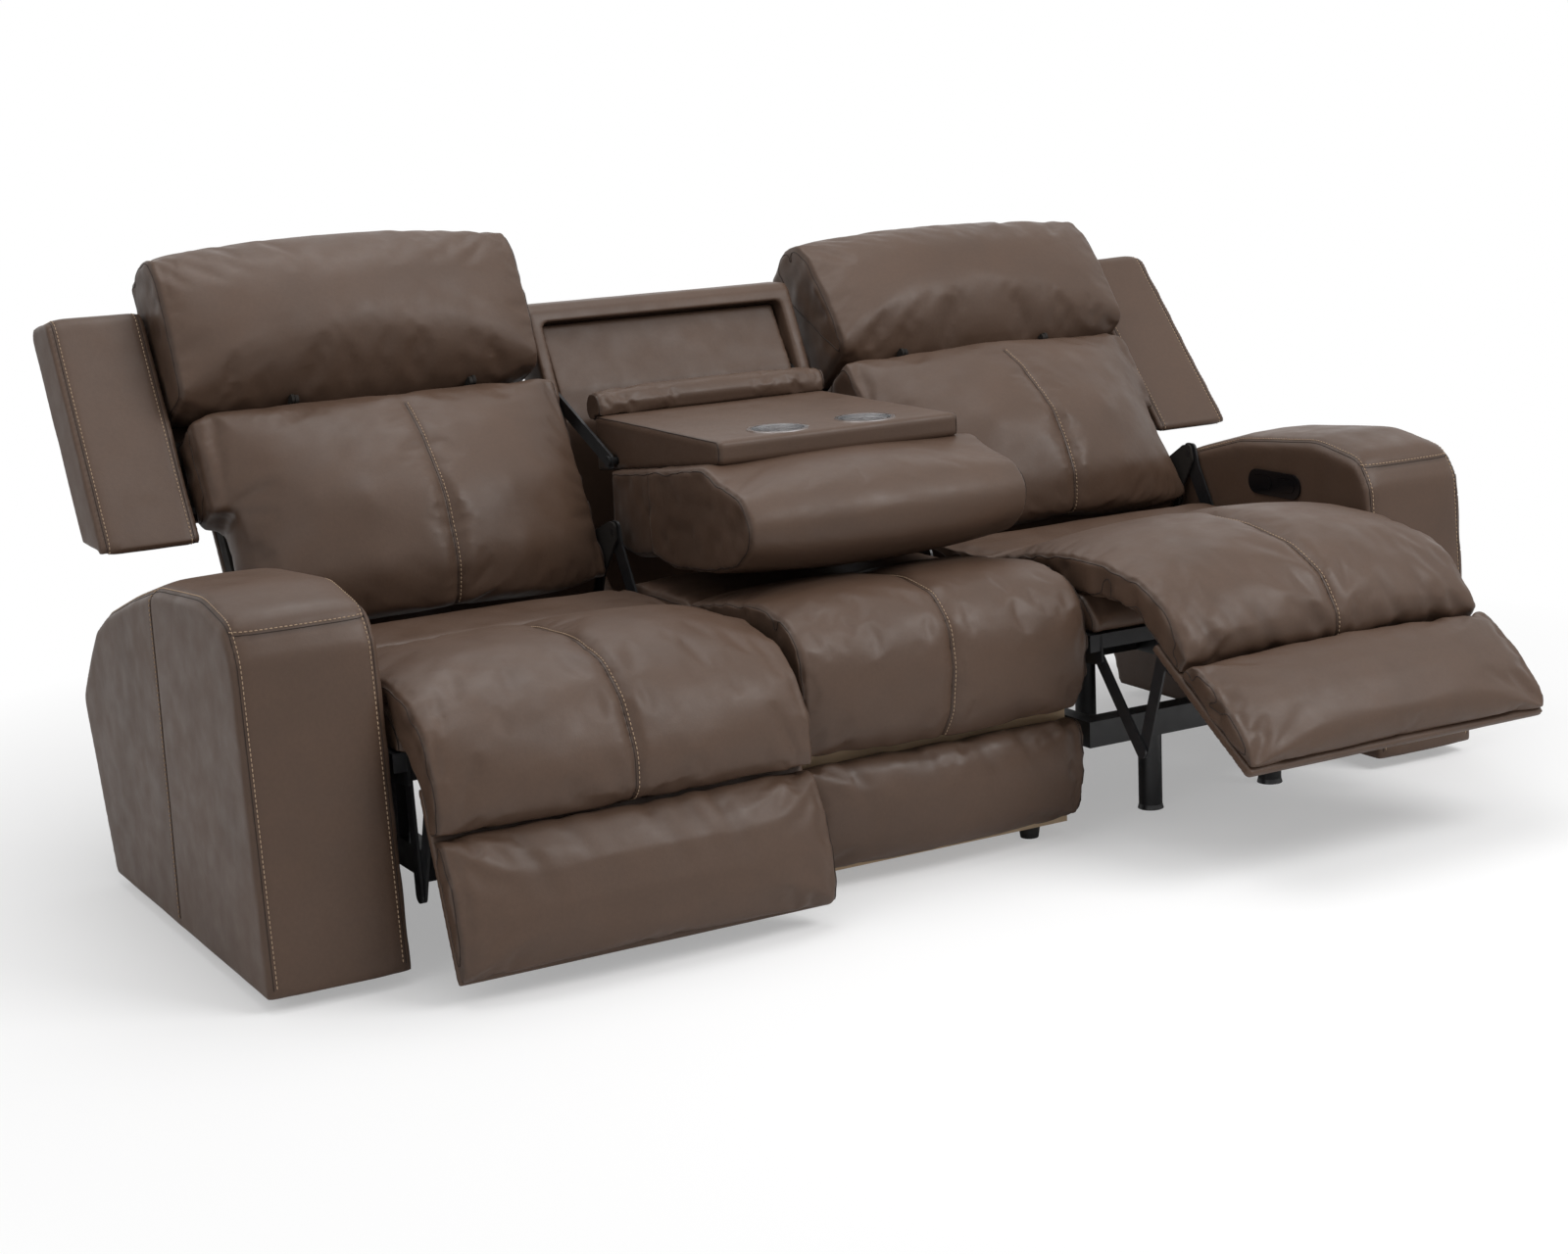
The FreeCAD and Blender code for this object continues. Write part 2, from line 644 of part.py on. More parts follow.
def actuator_rod():
    x = SEAT_MID
    rod = rod_y(x, ACTUATOR_Z, ROD_R, 160, 470)
    eye = Part.makeCylinder(14, 12, vec(x - 6, 150, ACTUATOR_Z), vec(1, 0, 0))
    hole = Part.makeCylinder(5, 14, vec(x - 7, 150, ACTUATOR_Z), vec(1, 0, 0))
    return joined([rod, eye]).cut(hole)


# the back of an end seat

HEAD_OUT = ARM_INNER + 34.0
HEAD_IN = PAD_IN + 14.0
WING_IN = HEAD_OUT + 4.0
WING_OUT = HALF_WIDTH - 15.0
BACK_IN = SEAT_IN + 8.0
BACK_OUT = SEAT_OUT - 8.0
FRAME_W = (-130.0, -100.0)
SHELL_W = (-156.0, -140.0)
WIDE_FROM_U = 252.0


def back_frame():
    """Board frame with two posts, three bars, the recline ears and the headrest arms."""
    w0, w1 = FRAME_W
    parts = []

    def slab(u0, u1, x0, x1):
        points = [(u0, w0), (u1, w0), (u1, w1), (u0, w1)]
        return plate(back_outline(points), x0, x1)

    for x0, x1 in ((BACK_IN, BACK_IN + 28), (BACK_OUT - 28, BACK_OUT)):
        parts.append(slab(-38, 378, x0, x1))
    for u0, u1 in ((-38, 12), (160, 200), (338, 378)):
        parts.append(slab(u0, u1, BACK_IN, BACK_OUT))
    parts.append(slab(338, 378, BACK_IN, WING_IN))
    parts.append(slab(262, 300, BACK_OUT - 28, WING_IN))
    spacers = [(0, w0), (60, w0), (60, SHELL_W[1]), (0, SHELL_W[1])]
    parts.append(plate(back_outline(spacers), BACK_IN, BACK_OUT))
    top_spacer = [(340, w0), (376, w0), (376, SHELL_W[1]), (340, SHELL_W[1])]
    parts.append(plate(back_outline(top_spacer), BACK_IN, BACK_OUT))

    pin_y, pin_z = RECLINE_PIVOT
    ear = [back_point(-30, w0), back_point(-30, w1), (640, 424), (pin_y - 12, pin_z - 14, 10),
           (pin_y - 10, pin_z + 16, 10), (pin_y + 12, pin_z + 16, 8), back_point(110, w1),
           back_point(110, w0)]

    def recline_ear():
        solid = plate(ear, SEAT_IN + 1, SEAT_IN + 5, [(pin_y, pin_z, BIG_PIN_R + RUN_FIT)])
        strap = slab(0, 100, SEAT_IN + 1, BACK_IN)
        return joined([solid, strap])

    parts += both_flanks(recline_ear)

    hu, hw = HEAD_PIVOT_UW

    def head_arm():
        arm = [(hu - 7, w0), (hu + 7, w0), (hu + 7, hw + 7, 6), (hu - 7, hw + 7, 6)]
        x0 = SEAT_MID - 158
        solid = plate(back_outline(arm), x0, x0 + 6)
        foot = plate(back_outline([(376, w0), (hu + 7, w0), (hu + 7, w1), (376, w1)]), x0, x0 + 40)
        pin = rod_x(HEAD_PIVOT[0], HEAD_PIVOT[1], PIN_R, x0 - 7, x0)
        return joined([solid, foot, pin])

    parts += both_flanks(head_arm)
    return joined(parts)


def back_cushion():
    low_rear = back_point(-10, FRAME_W[1])
    top_rear = back_point(380, FRAME_W[1])
    side = [low_rear, (643, 421, 0), (607, 421, 8), (650, 503, 80), (702, 598, 80),
            (752, 686, 60), (788, 750, 12), top_rear]
    mid = [low_rear, (643, 421, 0), (546, 422, 25), (525, 500, 80), (566, 612, 90),
           (652, 700, 80), (738, 757, 30), top_rear]
    main = cushion(side, mid, BACK_IN, BACK_OUT, (SEAT_MID,), 0.08, 2.0)
    low, upper = 212.0, 380.0
    bolster_mid = back_outline([(low, FRAME_W[1], 0), (low, -2, 6), (300, 4, 40), (upper - 2, 8, 12),
                                (upper, FRAME_W[1], 0)])
    bolster_side = back_outline([(low + 6, FRAME_W[1] + 2, 0), (low + 10, -30, 6), (300, -24, 40),
                                 (upper - 14, -22, 12), (upper - 10, FRAME_W[1] + 2, 0)])
    x0, x1 = BACK_OUT, WING_IN - 12
    stations = [(x0, 1.0), (x0 + 20, 0.9), (x0 + 34, 0.55), (x1, 0.0)]
    bolster = loft(bolster_side, bolster_mid, stations)
    return joined([main, bolster])


def wing():
    mid = [(732, 542, 12), (776, 550, 0), (864, 553, 10), (1064, 886, 26), (951, 908, 28)]
    side = [(741, 546, 8), (776, 551, 0), (856, 554, 6), (1050, 882, 16), (950, 897, 18)]
    stations = [(WING_IN, 0.5), (WING_IN + 3, 0.85), (WING_IN + 10, 1.0), (WING_OUT - 30, 1.0),
                (WING_OUT - 14, 0.8), (WING_OUT - 4, 0.45), (WING_OUT, 0.0)]
    return loft(side, mid, stations)


def back_shell():
    w0, w1 = SHELL_W
    top = 610.0
    low = [(-58, w0, 4), (WIDE_FROM_U, w0, 0), (WIDE_FROM_U, w1, 0), (-58, w1, 4)]
    high = [(WIDE_FROM_U, w0, 0), (top, w0, 6), (top, w1, 6), (WIDE_FROM_U, w1, 0)]
    return joined([plate(back_outline(low), BACK_IN, BACK_OUT),
                   plate(back_outline(high), BACK_IN, WING_IN)])


HEAD_REAR_W = -126.0


def headrest_cushion():
    r = HEAD_REAR_W
    mid = [(404, r, 0), (404, 8, 20), (420, 40, 30), (520, 52, 80), (616, 44, 60),
           (670, 18, 40), (692, -50, 50), (676, r, 0)]
    side = [(404, r, 0), (405, -4, 14), (418, 16, 20), (520, 22, 80), (612, 18, 50),
            (656, 0, 36), (674, -50, 40), (664, r, 0)]
    return cushion(back_outline(side), back_outline(mid), HEAD_IN, HEAD_OUT)


def headrest_frame():
    r = HEAD_REAR_W
    board = plate(back_outline([(410, r), (655, r), (655, r - 8), (410, r - 8)]),
                  HEAD_IN + 14, HEAD_OUT - 14)
    hu, hw = HEAD_PIVOT_UW

    def arm():
        x0 = SEAT_MID - 164
        points = [(hu - 6, r - 8), (430, r - 8), (430, r), (hu + 9, r), (hu + 9, hw + 7, 6),
                  (hu - 6, hw + 7, 6)]
        return plate(back_outline(points), x0, x0 + 5,
                     [(HEAD_PIVOT[0], HEAD_PIVOT[1], PIN_R + RUN_FIT)])

    return joined([board] + both_flanks(arm))


# console and its surround

def tray_bottom(y):
    share = (y - TRAY_FRONT_Y) / (TRAY_REAR_Y - TRAY_FRONT_Y)
    return TRAY_FRONT_BOTTOM + share * (TRAY_REAR_BOTTOM - TRAY_FRONT_BOTTOM)


def console_tray():
    points = [(TRAY_FRONT_Y, TRAY_FRONT_BOTTOM, 2), (TRAY_FRONT_Y, TRAY_TOP, 5),
              (TRAY_REAR_Y, TRAY_TOP, 0), (TRAY_REAR_Y, TRAY_REAR_BOTTOM, 2)]
    solid = plate(points, -TRAY_HALF, TRAY_HALF)
    for x in (-CUP_X, CUP_X):
        solid = solid.cut(rod_z(x, CUP_Y, CUP_R + 0.1, CUP_FLOOR_Z, TRAY_TOP + 1))
    for x0 in (-TRAY_HALF - 1, TRAY_HALF - 18):
        solid = solid.cut(rod_x(HINGE[0], HINGE[1], BIG_PIN_R + RUN_FIT, x0, x0 + 19))
    return solid


def cup_holders():
    cups = []
    for x in (-CUP_X, CUP_X):
        outer = rod_z(x, CUP_Y, CUP_R, CUP_FLOOR_Z - CUP_WALL, TRAY_TOP)
        rim = rod_z(x, CUP_Y, CUP_R + 5, TRAY_TOP, TRAY_TOP + 1.6)
        inner = rod_z(x, CUP_Y, CUP_R - CUP_WALL, CUP_FLOOR_Z, TRAY_TOP + 3)
        cups.append(joined([outer, rim]).cut(inner))
    return group(cups)


def console_head_cushion():
    rear = CREASE_Y - 2
    tops = [(TRAY_FRONT_Y, TRAY_FRONT_BOTTOM, 0), (rear, tray_bottom(rear), 0)]
    mid = [(rear, 462, 12), (400, 448, 60), (250, 462, 60), (158, 480, 50), (106, 520, 45),
           (100, 578, 45), (142, 626, 45), (228, 643, 30)] + tops
    side = [(rear, 474, 10), (400, 462, 50), (250, 476, 50), (170, 496, 50), (130, 530, 45),
            (126, 574, 45), (160, 608, 45), (232, 622, 30)] + tops
    solid = cushion(side, mid, -LOBE_HALF, LOBE_HALF)
    for x in (-CUP_X, CUP_X):
        solid = solid.cut(rod_z(x, CUP_Y, CUP_R + 0.2, CUP_FLOOR_Z - CUP_WALL, TRAY_TOP))
    return solid


def console_back_cushion():
    rear = 644.0
    x1 = LOBE_HALF - 12
    front = CREASE_Y + 2
    tops = [(rear, tray_bottom(rear), 0), (front, tray_bottom(front), 0)]
    mid = [(front, 460, 12), (550, 445, 50), (618, 452, 30), (rear, 490, 20)] + tops
    side = [(front, 472, 10), (550, 458, 40), (612, 464, 30), (rear - 4, 498, 20)] + tops
    return cushion(side, mid, -x1, x1)


def console_roll():
    y, z = TRAY_REAR_Y, TRAY_TOP
    mid = [(y - 20, z, 0), (y - 23, 700, 12), (y - 10, 722, 16), (y + 18, 725, 18),
           (y + 38, 708, 18), (y + 38, 680, 16), (y + 22, 664, 10), (y, 666, 0), (y, z, 0)]
    side = [(y - 16, z, 0), (y - 18, 699, 10), (y - 7, 717, 14), (y + 17, 719, 16),
            (y + 33, 705, 16), (y + 33, 682, 14), (y + 20, 669, 9), (y, 671, 0), (y, z, 0)]
    return cushion(side, mid, -TRAY_HALF + 1, TRAY_HALF - 1)


POST_X = (MIDDLE_HALF - POST_WIDTH, MIDDLE_HALF)
POST = [(600, BASE_Z1), (600, 330), (700, 420), (800, 520), (835, 640), (835, 710), (893, 832),
        (901, 850, 6), (916, 862, 8), (972, 860, 10), (986, 842, 10), (864, 560, 60), (850, BASE_Z1)]
RECESS_FRONT = [(918, 826), (853, 715), (833, 655), (828, 462)]
RECESS_REAR = [(842, 462), (847, 652), (866, 709), (931, 819)]


def along(a, b, share):
    return (a[0] + (b[0] - a[0]) * share, a[1] + (b[1] - a[1]) * share)


def console_surround():
    x0, x1 = POST_X
    parts = [plate(POST, x0, x1), plate(POST, -x1, -x0)]
    cover = [(974, 850), (986, 842), (864, 560), (850, 180), (838, 180), (852, 562)]
    cap = [(893, 832), (901, 850, 6), (916, 862, 8), (972, 860, 10), (980, 846), (932, 821), (920, 829)]
    parts.append(plate(cover, -x0, x0))
    parts.append(plate(cap, -x0, x0))
    low, high = along(RECESS_REAR[2], RECESS_REAR[3], 0.3), along(RECESS_REAR[2], RECESS_REAR[3], 0.62)
    parts.append(plate([low, high, (high[0] + 22, high[1] - 13), (low[0] + 22, low[1] - 13)], -x0, x0))
    low, high = along(RECESS_REAR[0], RECESS_REAR[1], 0.2), along(RECESS_REAR[0], RECESS_REAR[1], 0.42)
    parts.append(plate([low, high, (854, high[1]), (852, low[1])], -x0, x0))
    return joined(parts)


def recess_panel():
    points = [RECESS_FRONT[0]] + [(p[0], p[1], 30) for p in RECESS_FRONT[1:3]] + [RECESS_FRONT[3]]
    points += [RECESS_REAR[0]] + [(p[0], p[1], 16) for p in RECESS_REAR[1:3]] + [RECESS_REAR[3]]
    half = POST_X[0] - 6
    return plate(points, -half, half)


def console_brackets():
    x1 = POST_X[0]
    x0 = x1 - 5
    far = (868.0, 704.0)
    arm = bar_between(HINGE, far, 13, x0, x1, 0, 0)
    knee = [(840, 650), (868, 640), (884, 700), (860, 716)]
    pin = rod_x(HINGE[0], HINGE[1], BIG_PIN_R, TRAY_HALF - 16, x1)
    head = rod_x(HINGE[0], HINGE[1], 10, x1, x1 + 4)
    right = joined([arm, plate(knee, x0, x1), pin, head])
    return group([right, right.mirror(vec(0, 0, 0), vec(1, 0, 0))])


def power_supply():
    y1 = BASE_REAR_Y
    box = block(-85, 85, y1 - 60, y1, BASE_Z0 + 2, BASE_Z1 - 2)
    inlet = rod_x(y1 - 30, BASE_Z0 + 22, 7, 85, 97)
    return joined([box, inlet])


# posing and placing

def build():
    """Every node with its body, in the pose of the picture."""
    nodes = {}

    def add(name, body, shape):
        nodes[name] = (body, shape)

    for name, pose in POSES.items():
        footrest, recline, head = pose["footrest"], pose["recline"], pose["head"]
        step = slide_step(footrest)
        left = name == "left"

        def place(suffix, body, shape, with_slide=True):
            if with_slide:
                shape = shifted(shape, *step)
            if left:
                shape = shape.mirror(vec(0, 0, 0), vec(1, 0, 0))
            add(name + "_" + suffix, body if body == "frame" else name + "_" + body, shape)

        place("arm_cover", "frame", arm_cover(), False)
        place("arm_frame", "frame", arm_frame(), False)
        place("control_bezel", "frame", control_bezel(), False)
        place("recline_rocker", "recline_button", rocker(-1), False)
        place("headrest_rocker", "headrest_button", rocker(1), False)
        place("seat_frame", "seat", seat_frame())
        place("seat_springs", "seat", seat_springs())
        place("seat_cushion", "seat", seat_cushion())
        place("knee_pad", "seat", knee_pad(name))
        place("actuator_motor", "seat", actuator_motor())
        rod = shifted(actuator_rod(), -ROD_PER_DEGREE * footrest, 0)
        place("actuator_rod", "rod", rod)
        for suffix, make in (("ottoman_board", ottoman_board), ("lower_pad", lower_pad),
                             ("ottoman_brackets", ottoman_brackets)):
            place(suffix, "ottoman", turned(make(), FOOTREST_CENTRE, footrest))
        place("front_links", "front_link", front_links(footrest))
        place("rear_links", "rear_link", rear_links(footrest))
        for suffix, make in (("back_frame", back_frame), ("back_cushion", back_cushion),
                             ("wing", wing), ("back_shell", back_shell)):
            place(suffix, "back", turned(make(), RECLINE_PIVOT, recline))
        for suffix, make in (("headrest_cushion", headrest_cushion), ("headrest_frame", headrest_frame)):
            shape = turned(make(), HEAD_PIVOT, -head)
            place(suffix, "head", turned(shape, RECLINE_PIVOT, recline))

    for name, make in (("base_frame", base_frame), ("frame_legs", frame_legs),
                       ("glide_feet", glide_feet), ("middle_seat_frame", middle_seat_frame),
                       ("middle_seat_cushion", middle_seat_cushion),
                       ("middle_knee_pad", middle_knee_pad), ("middle_lower_pad", middle_lower_pad),
                       ("console_surround", console_surround), ("recess_panel", recess_panel),
                       ("console_brackets", console_brackets), ("power_supply", power_supply)):
        add(name, "frame", make())
    for name, make in (("console_tray", console_tray), ("cup_holders", cup_holders),
                       ("console_head_cushion", console_head_cushion),
                       ("console_back_cushion", console_back_cushion),
                       ("console_roll", console_roll)):
        add(name, "console", make())
    return nodes


def centre_shift(nodes):
    """Step that puts the middle of the whole depth at Y = 0."""
    boxes = [shape.optimalBoundingBox(False, False) for body, shape in nodes.values()]
    return -(min(b.YMin for b in boxes) + max(b.YMax for b in boxes)) / 2


def main():
    nodes = build()
    step = centre_shift(nodes)
    os.makedirs("parts", exist_ok=True)
    for name, (body, shape) in nodes.items():
        moved = shifted(shape, step, 0)
        if not moved.isValid() or any(s.Volume <= 0 for s in moved.Solids):
            print("not valid:", name)
        moved.exportStep("parts/" + name + ".step")
    print("nodes", len(nodes), "shift", round(step, 3))


if __name__ == "__main__":
    main()
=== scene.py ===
import json
import math

import bmesh
import bpy
import numpy as np
from mathutils import Matrix, Vector
from mathutils.bvhtree import BVHTree


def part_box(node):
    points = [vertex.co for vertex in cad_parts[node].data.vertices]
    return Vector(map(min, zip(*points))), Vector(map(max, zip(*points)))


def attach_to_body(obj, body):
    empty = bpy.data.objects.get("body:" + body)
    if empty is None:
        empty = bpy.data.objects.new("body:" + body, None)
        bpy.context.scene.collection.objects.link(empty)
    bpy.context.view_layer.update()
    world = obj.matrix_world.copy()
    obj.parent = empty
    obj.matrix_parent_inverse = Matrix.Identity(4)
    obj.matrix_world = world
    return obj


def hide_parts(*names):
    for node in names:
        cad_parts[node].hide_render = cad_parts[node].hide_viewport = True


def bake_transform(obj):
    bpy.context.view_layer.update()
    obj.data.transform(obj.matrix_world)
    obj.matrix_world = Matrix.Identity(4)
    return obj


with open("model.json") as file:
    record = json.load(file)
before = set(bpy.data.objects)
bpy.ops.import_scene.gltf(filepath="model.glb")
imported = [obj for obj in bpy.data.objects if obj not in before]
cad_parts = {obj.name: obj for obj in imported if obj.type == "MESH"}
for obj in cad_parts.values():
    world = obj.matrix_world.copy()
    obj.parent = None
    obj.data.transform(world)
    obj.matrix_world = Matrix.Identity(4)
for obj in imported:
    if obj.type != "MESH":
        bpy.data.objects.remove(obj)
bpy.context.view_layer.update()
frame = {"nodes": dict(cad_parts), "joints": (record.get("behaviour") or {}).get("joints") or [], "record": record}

NODES = frame["nodes"]
JOINTS = {j["name"]: j for j in frame["joints"]}
SIDES = ("left", "right")
SIGN = {"left": -1, "right": 1}

# lengths in metres
ARM_FRONT = 0.003
ORIGIN_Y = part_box("left_arm_cover")[0].y - ARM_FRONT
STITCH_PITCH = 0.0072
STITCH_LENGTH = 0.0046
STITCH_RADIUS = 0.0008
SEAM_RADIUS = 0.0009
CENTRE_SEAM_RADIUS = SEAM_RADIUS * 0.8
END_SEAM_INSET = 0.0035
ARM_HALF_WIDTH = 0.107
ARM_TOP_SEAM_Z = 0.530
ARM_SIDE_SEAM_Y = 0.416
ARM_EDGE = 0.009
ARM_WALL = 0.0175
WING_SEAM_INSET = 0.010
STITCH_OFFSET = 0.0045
KNEE_BLEND_START = (0, 0.096, -0.03)
KNEE_BLEND_DOWN = (0, 0.0018, -0.1595)
FOOTREST_OPEN = {"left": 17.0, "right": 52.0}

# camera fitted to the edges of the photograph
CAMERA_PLACE = (-2.179, -3.4248 + ORIGIN_Y, 1.272)
CAMERA_AZIMUTH = -29.03
CAMERA_ELEVATION = 12.09
CAMERA_ROLL = -2.68
CAMERA_LENS = 61.09
SENSOR_WIDTH = 36.0

THREAD_COLOUR = (0.36, 0.255, 0.17)
LEATHER_COLOUR = (0.078, 0.047, 0.032)
SEAM_COLOUR = (0.022, 0.013, 0.009)


# smooth noise over points

def lattice(cell, seed):
    x, y, z = cell[:, 0], cell[:, 1], cell[:, 2]
    n = (x * 73856093) ^ (y * 19349663) ^ (z * 83492791) ^ (seed * 2654435)
    n = (n ^ (n >> 13)) & 0x7FFFFFFF
    n = (n * 1274126177) & 0x7FFFFFFF
    n = (n ^ (n >> 15)) & 0xFFFFFF
    return n / float(0x7FFFFF) - 1.0


def ripple(points, size, seed=1):
    """Smooth noise from -1 to 1 with features about as large as size, which may differ by axis."""
    p = points / np.asarray(size, float) + 100.0 + seed * 3.7
    cell = np.floor(p).astype(np.int64)
    f = p - cell
    f = f * f * (3 - 2 * f)
    total = np.zeros(len(p))
    for corner in range(8):
        step = np.array([corner & 1, corner >> 1 & 1, corner >> 2 & 1])
        weight = np.prod(np.where(step == 1, f, 1 - f), axis=1)
        total += weight * lattice(cell + step, seed)
    return total


# materials

def new_material(name, colour, roughness, metallic=0.0, specular=0.5):
    mat = bpy.data.materials.new(name)
    mat.use_nodes = True
    shader = mat.node_tree.nodes["Principled BSDF"]
    shader.inputs["Base Color"].default_value = (*colour, 1)
    shader.inputs["Roughness"].default_value = roughness
    shader.inputs["Metallic"].default_value = metallic
    shader.inputs["Specular IOR Level"].default_value = specular
    return mat, mat.node_tree, shader


def noise_node(tree, coords, scale, detail=3.0, roughness=0.5):
    node = tree.nodes.new("ShaderNodeTexNoise")
    node.inputs["Scale"].default_value = scale
    node.inputs["Detail"].default_value = detail
    node.inputs["Roughness"].default_value = roughness
    tree.links.new(coords, node.inputs["Vector"])
    return node.outputs["Fac"]


def spread(tree, value, low, high, start=0.3, end=0.7):
    node = tree.nodes.new("ShaderNodeMapRange")
    node.inputs["From Min"].default_value = start
    node.inputs["From Max"].default_value = end
    node.inputs["To Min"].default_value = low
    node.inputs["To Max"].default_value = high
    tree.links.new(value, node.inputs["Value"])
    return node.outputs["Result"]


def blend_colours(tree, factor, first, second):
    node = tree.nodes.new("ShaderNodeMix")
    node.data_type = "RGBA"
    for socket, value in (("Factor", factor), ("A", first), ("B", second)):
        target = [s for s in node.inputs if s.name == socket and s.enabled][0]
        if isinstance(value, bpy.types.NodeSocket):
            tree.links.new(value, target)
        else:
            target.default_value = value if isinstance(value, float) else (*value, 1)
    return [s for s in node.outputs if s.enabled][0]


def add_bumps(tree, shader, heights):
    """Stack of bumps given as (height socket, strength, distance)."""
    last = None
    for height, strength, distance in heights:
        bump = tree.nodes.new("ShaderNodeBump")
        bump.inputs["Strength"].default_value = strength
        bump.inputs["Distance"].default_value = distance
        tree.links.new(height, bump.inputs["Height"])
        if last:
            tree.links.new(last, bump.inputs["Normal"])
        last = bump.outputs["Normal"]
    tree.links.new(last, shader.inputs["Normal"])


def scaled(colour, factor):
    return tuple(c * factor for c in colour)


def make_leather():
    """Smooth pulled-up leather: soft mottling, painted shade in creases, seam grooves and pucker hollows, fine
    pebbled grain.
    """
    mat, tree, shader = new_material("leather", LEATHER_COLOUR, 0.45, specular=0.3)
    rest = tree.nodes.new("ShaderNodeAttribute")
    rest.attribute_name = "rest_place"
    coords = rest.outputs["Vector"]
    clouds = spread(tree, noise_node(tree, coords, 5.0, 3.0), 0.0, 1.0)
    colour = blend_colours(tree, clouds, scaled(LEATHER_COLOUR, 0.91), scaled(LEATHER_COLOUR, 1.09))
    warm = spread(tree, noise_node(tree, coords, 13.0, 4.0), 0.0, 0.4)
    colour = blend_colours(tree, warm, colour, (0.092, 0.053, 0.034))
    specks = spread(tree, noise_node(tree, coords, 170.0, 2.0), 0.0, 0.16)
    colour = blend_colours(tree, specks, colour, scaled(LEATHER_COLOUR, 0.55))
    # painted shade: the stored creases, seam grooves and pucker hollows pull the leather towards 0.42 of its
    # colour
    shade = tree.nodes.new("ShaderNodeAttribute")
    shade.attribute_name = "shade"
    colour = blend_colours(tree, shade.outputs["Fac"], colour, scaled(LEATHER_COLOUR, 0.42))
    tree.links.new(colour, shader.inputs["Base Color"])
    rough = spread(tree, noise_node(tree, coords, 22.0, 3.0), 0.40, 0.54)
    tree.links.new(rough, shader.inputs["Roughness"])
    cells = tree.nodes.new("ShaderNodeTexVoronoi")
    cells.inputs["Scale"].default_value = 620.0
    tree.links.new(coords, cells.inputs["Vector"])
    add_bumps(tree, shader, [
        (noise_node(tree, coords, 38.0, 4.0), 0.14, 0.0015),
        (noise_node(tree, coords, 260.0, 3.0), 0.16, 0.0006),
        (cells.outputs["Distance"], 0.14, 0.0003)])
    return mat


def make_speckled(name, colour, roughness, grain, metallic=0.0, specular=0.5, change=0.12, depth=0.0002):
    """Plain finish with slight changes of tone and roughness and a fine surface grain."""
    mat, tree, shader = new_material(name, colour, roughness, metallic, specular)
    coords = tree.nodes.new("ShaderNodeTexCoord").outputs["Object"]
    tone = spread(tree, noise_node(tree, coords, 12.0, 4.0), 0.0, 1.0)
    colour_out = blend_colours(tree, tone, scaled(colour, 1 - change), scaled(colour, 1 + change))
    tree.links.new(colour_out, shader.inputs["Base Color"])
    patches = noise_node(tree, coords, 60.0, 3.0)
    rough = spread(tree, patches, roughness * 0.85, min(1.0, roughness * 1.15))
    tree.links.new(rough, shader.inputs["Roughness"])
    add_bumps(tree, shader, [(noise_node(tree, coords, grain, 2.0), 0.2, depth)])
    return mat


def make_wood():
    mat, tree, shader = new_material("plywood", (0.5, 0.36, 0.22), 0.6)
    coords = tree.nodes.new("ShaderNodeTexCoord").outputs["Object"]
    stretch = tree.nodes.new("ShaderNodeMapping")
    stretch.inputs["Scale"].default_value = (3.0, 40.0, 40.0)
    tree.links.new(coords, stretch.inputs["Vector"])
    rings = spread(tree, noise_node(tree, stretch.outputs["Vector"], 1.6, 5.0), 0.0, 1.0)
    colour = blend_colours(tree, rings, (0.42, 0.28, 0.16), (0.58, 0.43, 0.28))
    tree.links.new(colour, shader.inputs["Base Color"])
    add_bumps(tree, shader, [(rings, 0.15, 0.0006)])
    return mat


def make_chrome():
    """Polished steel with faint marks of spinning."""
    mat, tree, shader = new_material("cup_steel", (0.88, 0.88, 0.89), 0.2, metallic=1.0)
    coords = tree.nodes.new("ShaderNodeTexCoord").outputs["Object"]
    rings = tree.nodes.new("ShaderNodeMapping")
    rings.inputs["Scale"].default_value = (8.0, 8.0, 900.0)
    tree.links.new(coords, rings.inputs["Vector"])
    lines = noise_node(tree, rings.outputs["Vector"], 1.0, 2.0)
    tree.links.new(spread(tree, lines, 0.16, 0.3), shader.inputs["Roughness"])
    add_bumps(tree, shader, [(lines, 0.08, 0.0002)])
    return mat


MATERIALS = {
    "leather": make_leather(),
    "wood": make_wood(),
    "black_steel": make_speckled("black_steel", (0.012, 0.012, 0.013), 0.38, 420.0, specular=0.5),
    "spring_steel": make_speckled("zinc_steel", (0.42, 0.42, 0.43), 0.35, 300.0, metallic=1.0),
    "cup_steel": make_chrome(),
    "motor_plastic": make_speckled("motor_plastic", (0.018, 0.018, 0.02), 0.55, 500.0),
    "foot_plastic": make_speckled("foot_plastic", (0.014, 0.014, 0.014), 0.6, 500.0),
    "gloss_black": make_speckled("gloss_black", (0.006, 0.006, 0.007), 0.16, 200.0, depth=0.00005),
    "lining": make_speckled("black_lining", (0.02, 0.017, 0.015), 0.85, 700.0, specular=0.2),
    "thread": make_speckled("thread", THREAD_COLOUR, 0.7, 1500.0, specular=0.3),
    "seam": make_speckled("seam", SEAM_COLOUR, 0.7, 900.0, specular=0.3),
}


# meshes

def link(name, mesh):
    obj = bpy.data.objects.new(name, mesh)
    bpy.context.scene.collection.objects.link(obj)
    return obj


def points_of(obj):
    co = np.empty(len(obj.data.vertices) * 3)
    obj.data.vertices.foreach_get("co", co)
    return co.reshape(-1, 3)


def normals_of(obj):
    n = np.empty(len(obj.data.vertices) * 3)
    obj.data.vertices.foreach_get("normal", n)
    return n.reshape(-1, 3)


def set_points(obj, co):
    obj.data.vertices.foreach_set("co", np.ascontiguousarray(co, np.float64).ravel())
    obj.data.update()


def edges_of(obj):
    e = np.empty(len(obj.data.edges) * 2, np.int64)
    obj.data.edges.foreach_get("vertices", e)
    return e.reshape(-1, 2)


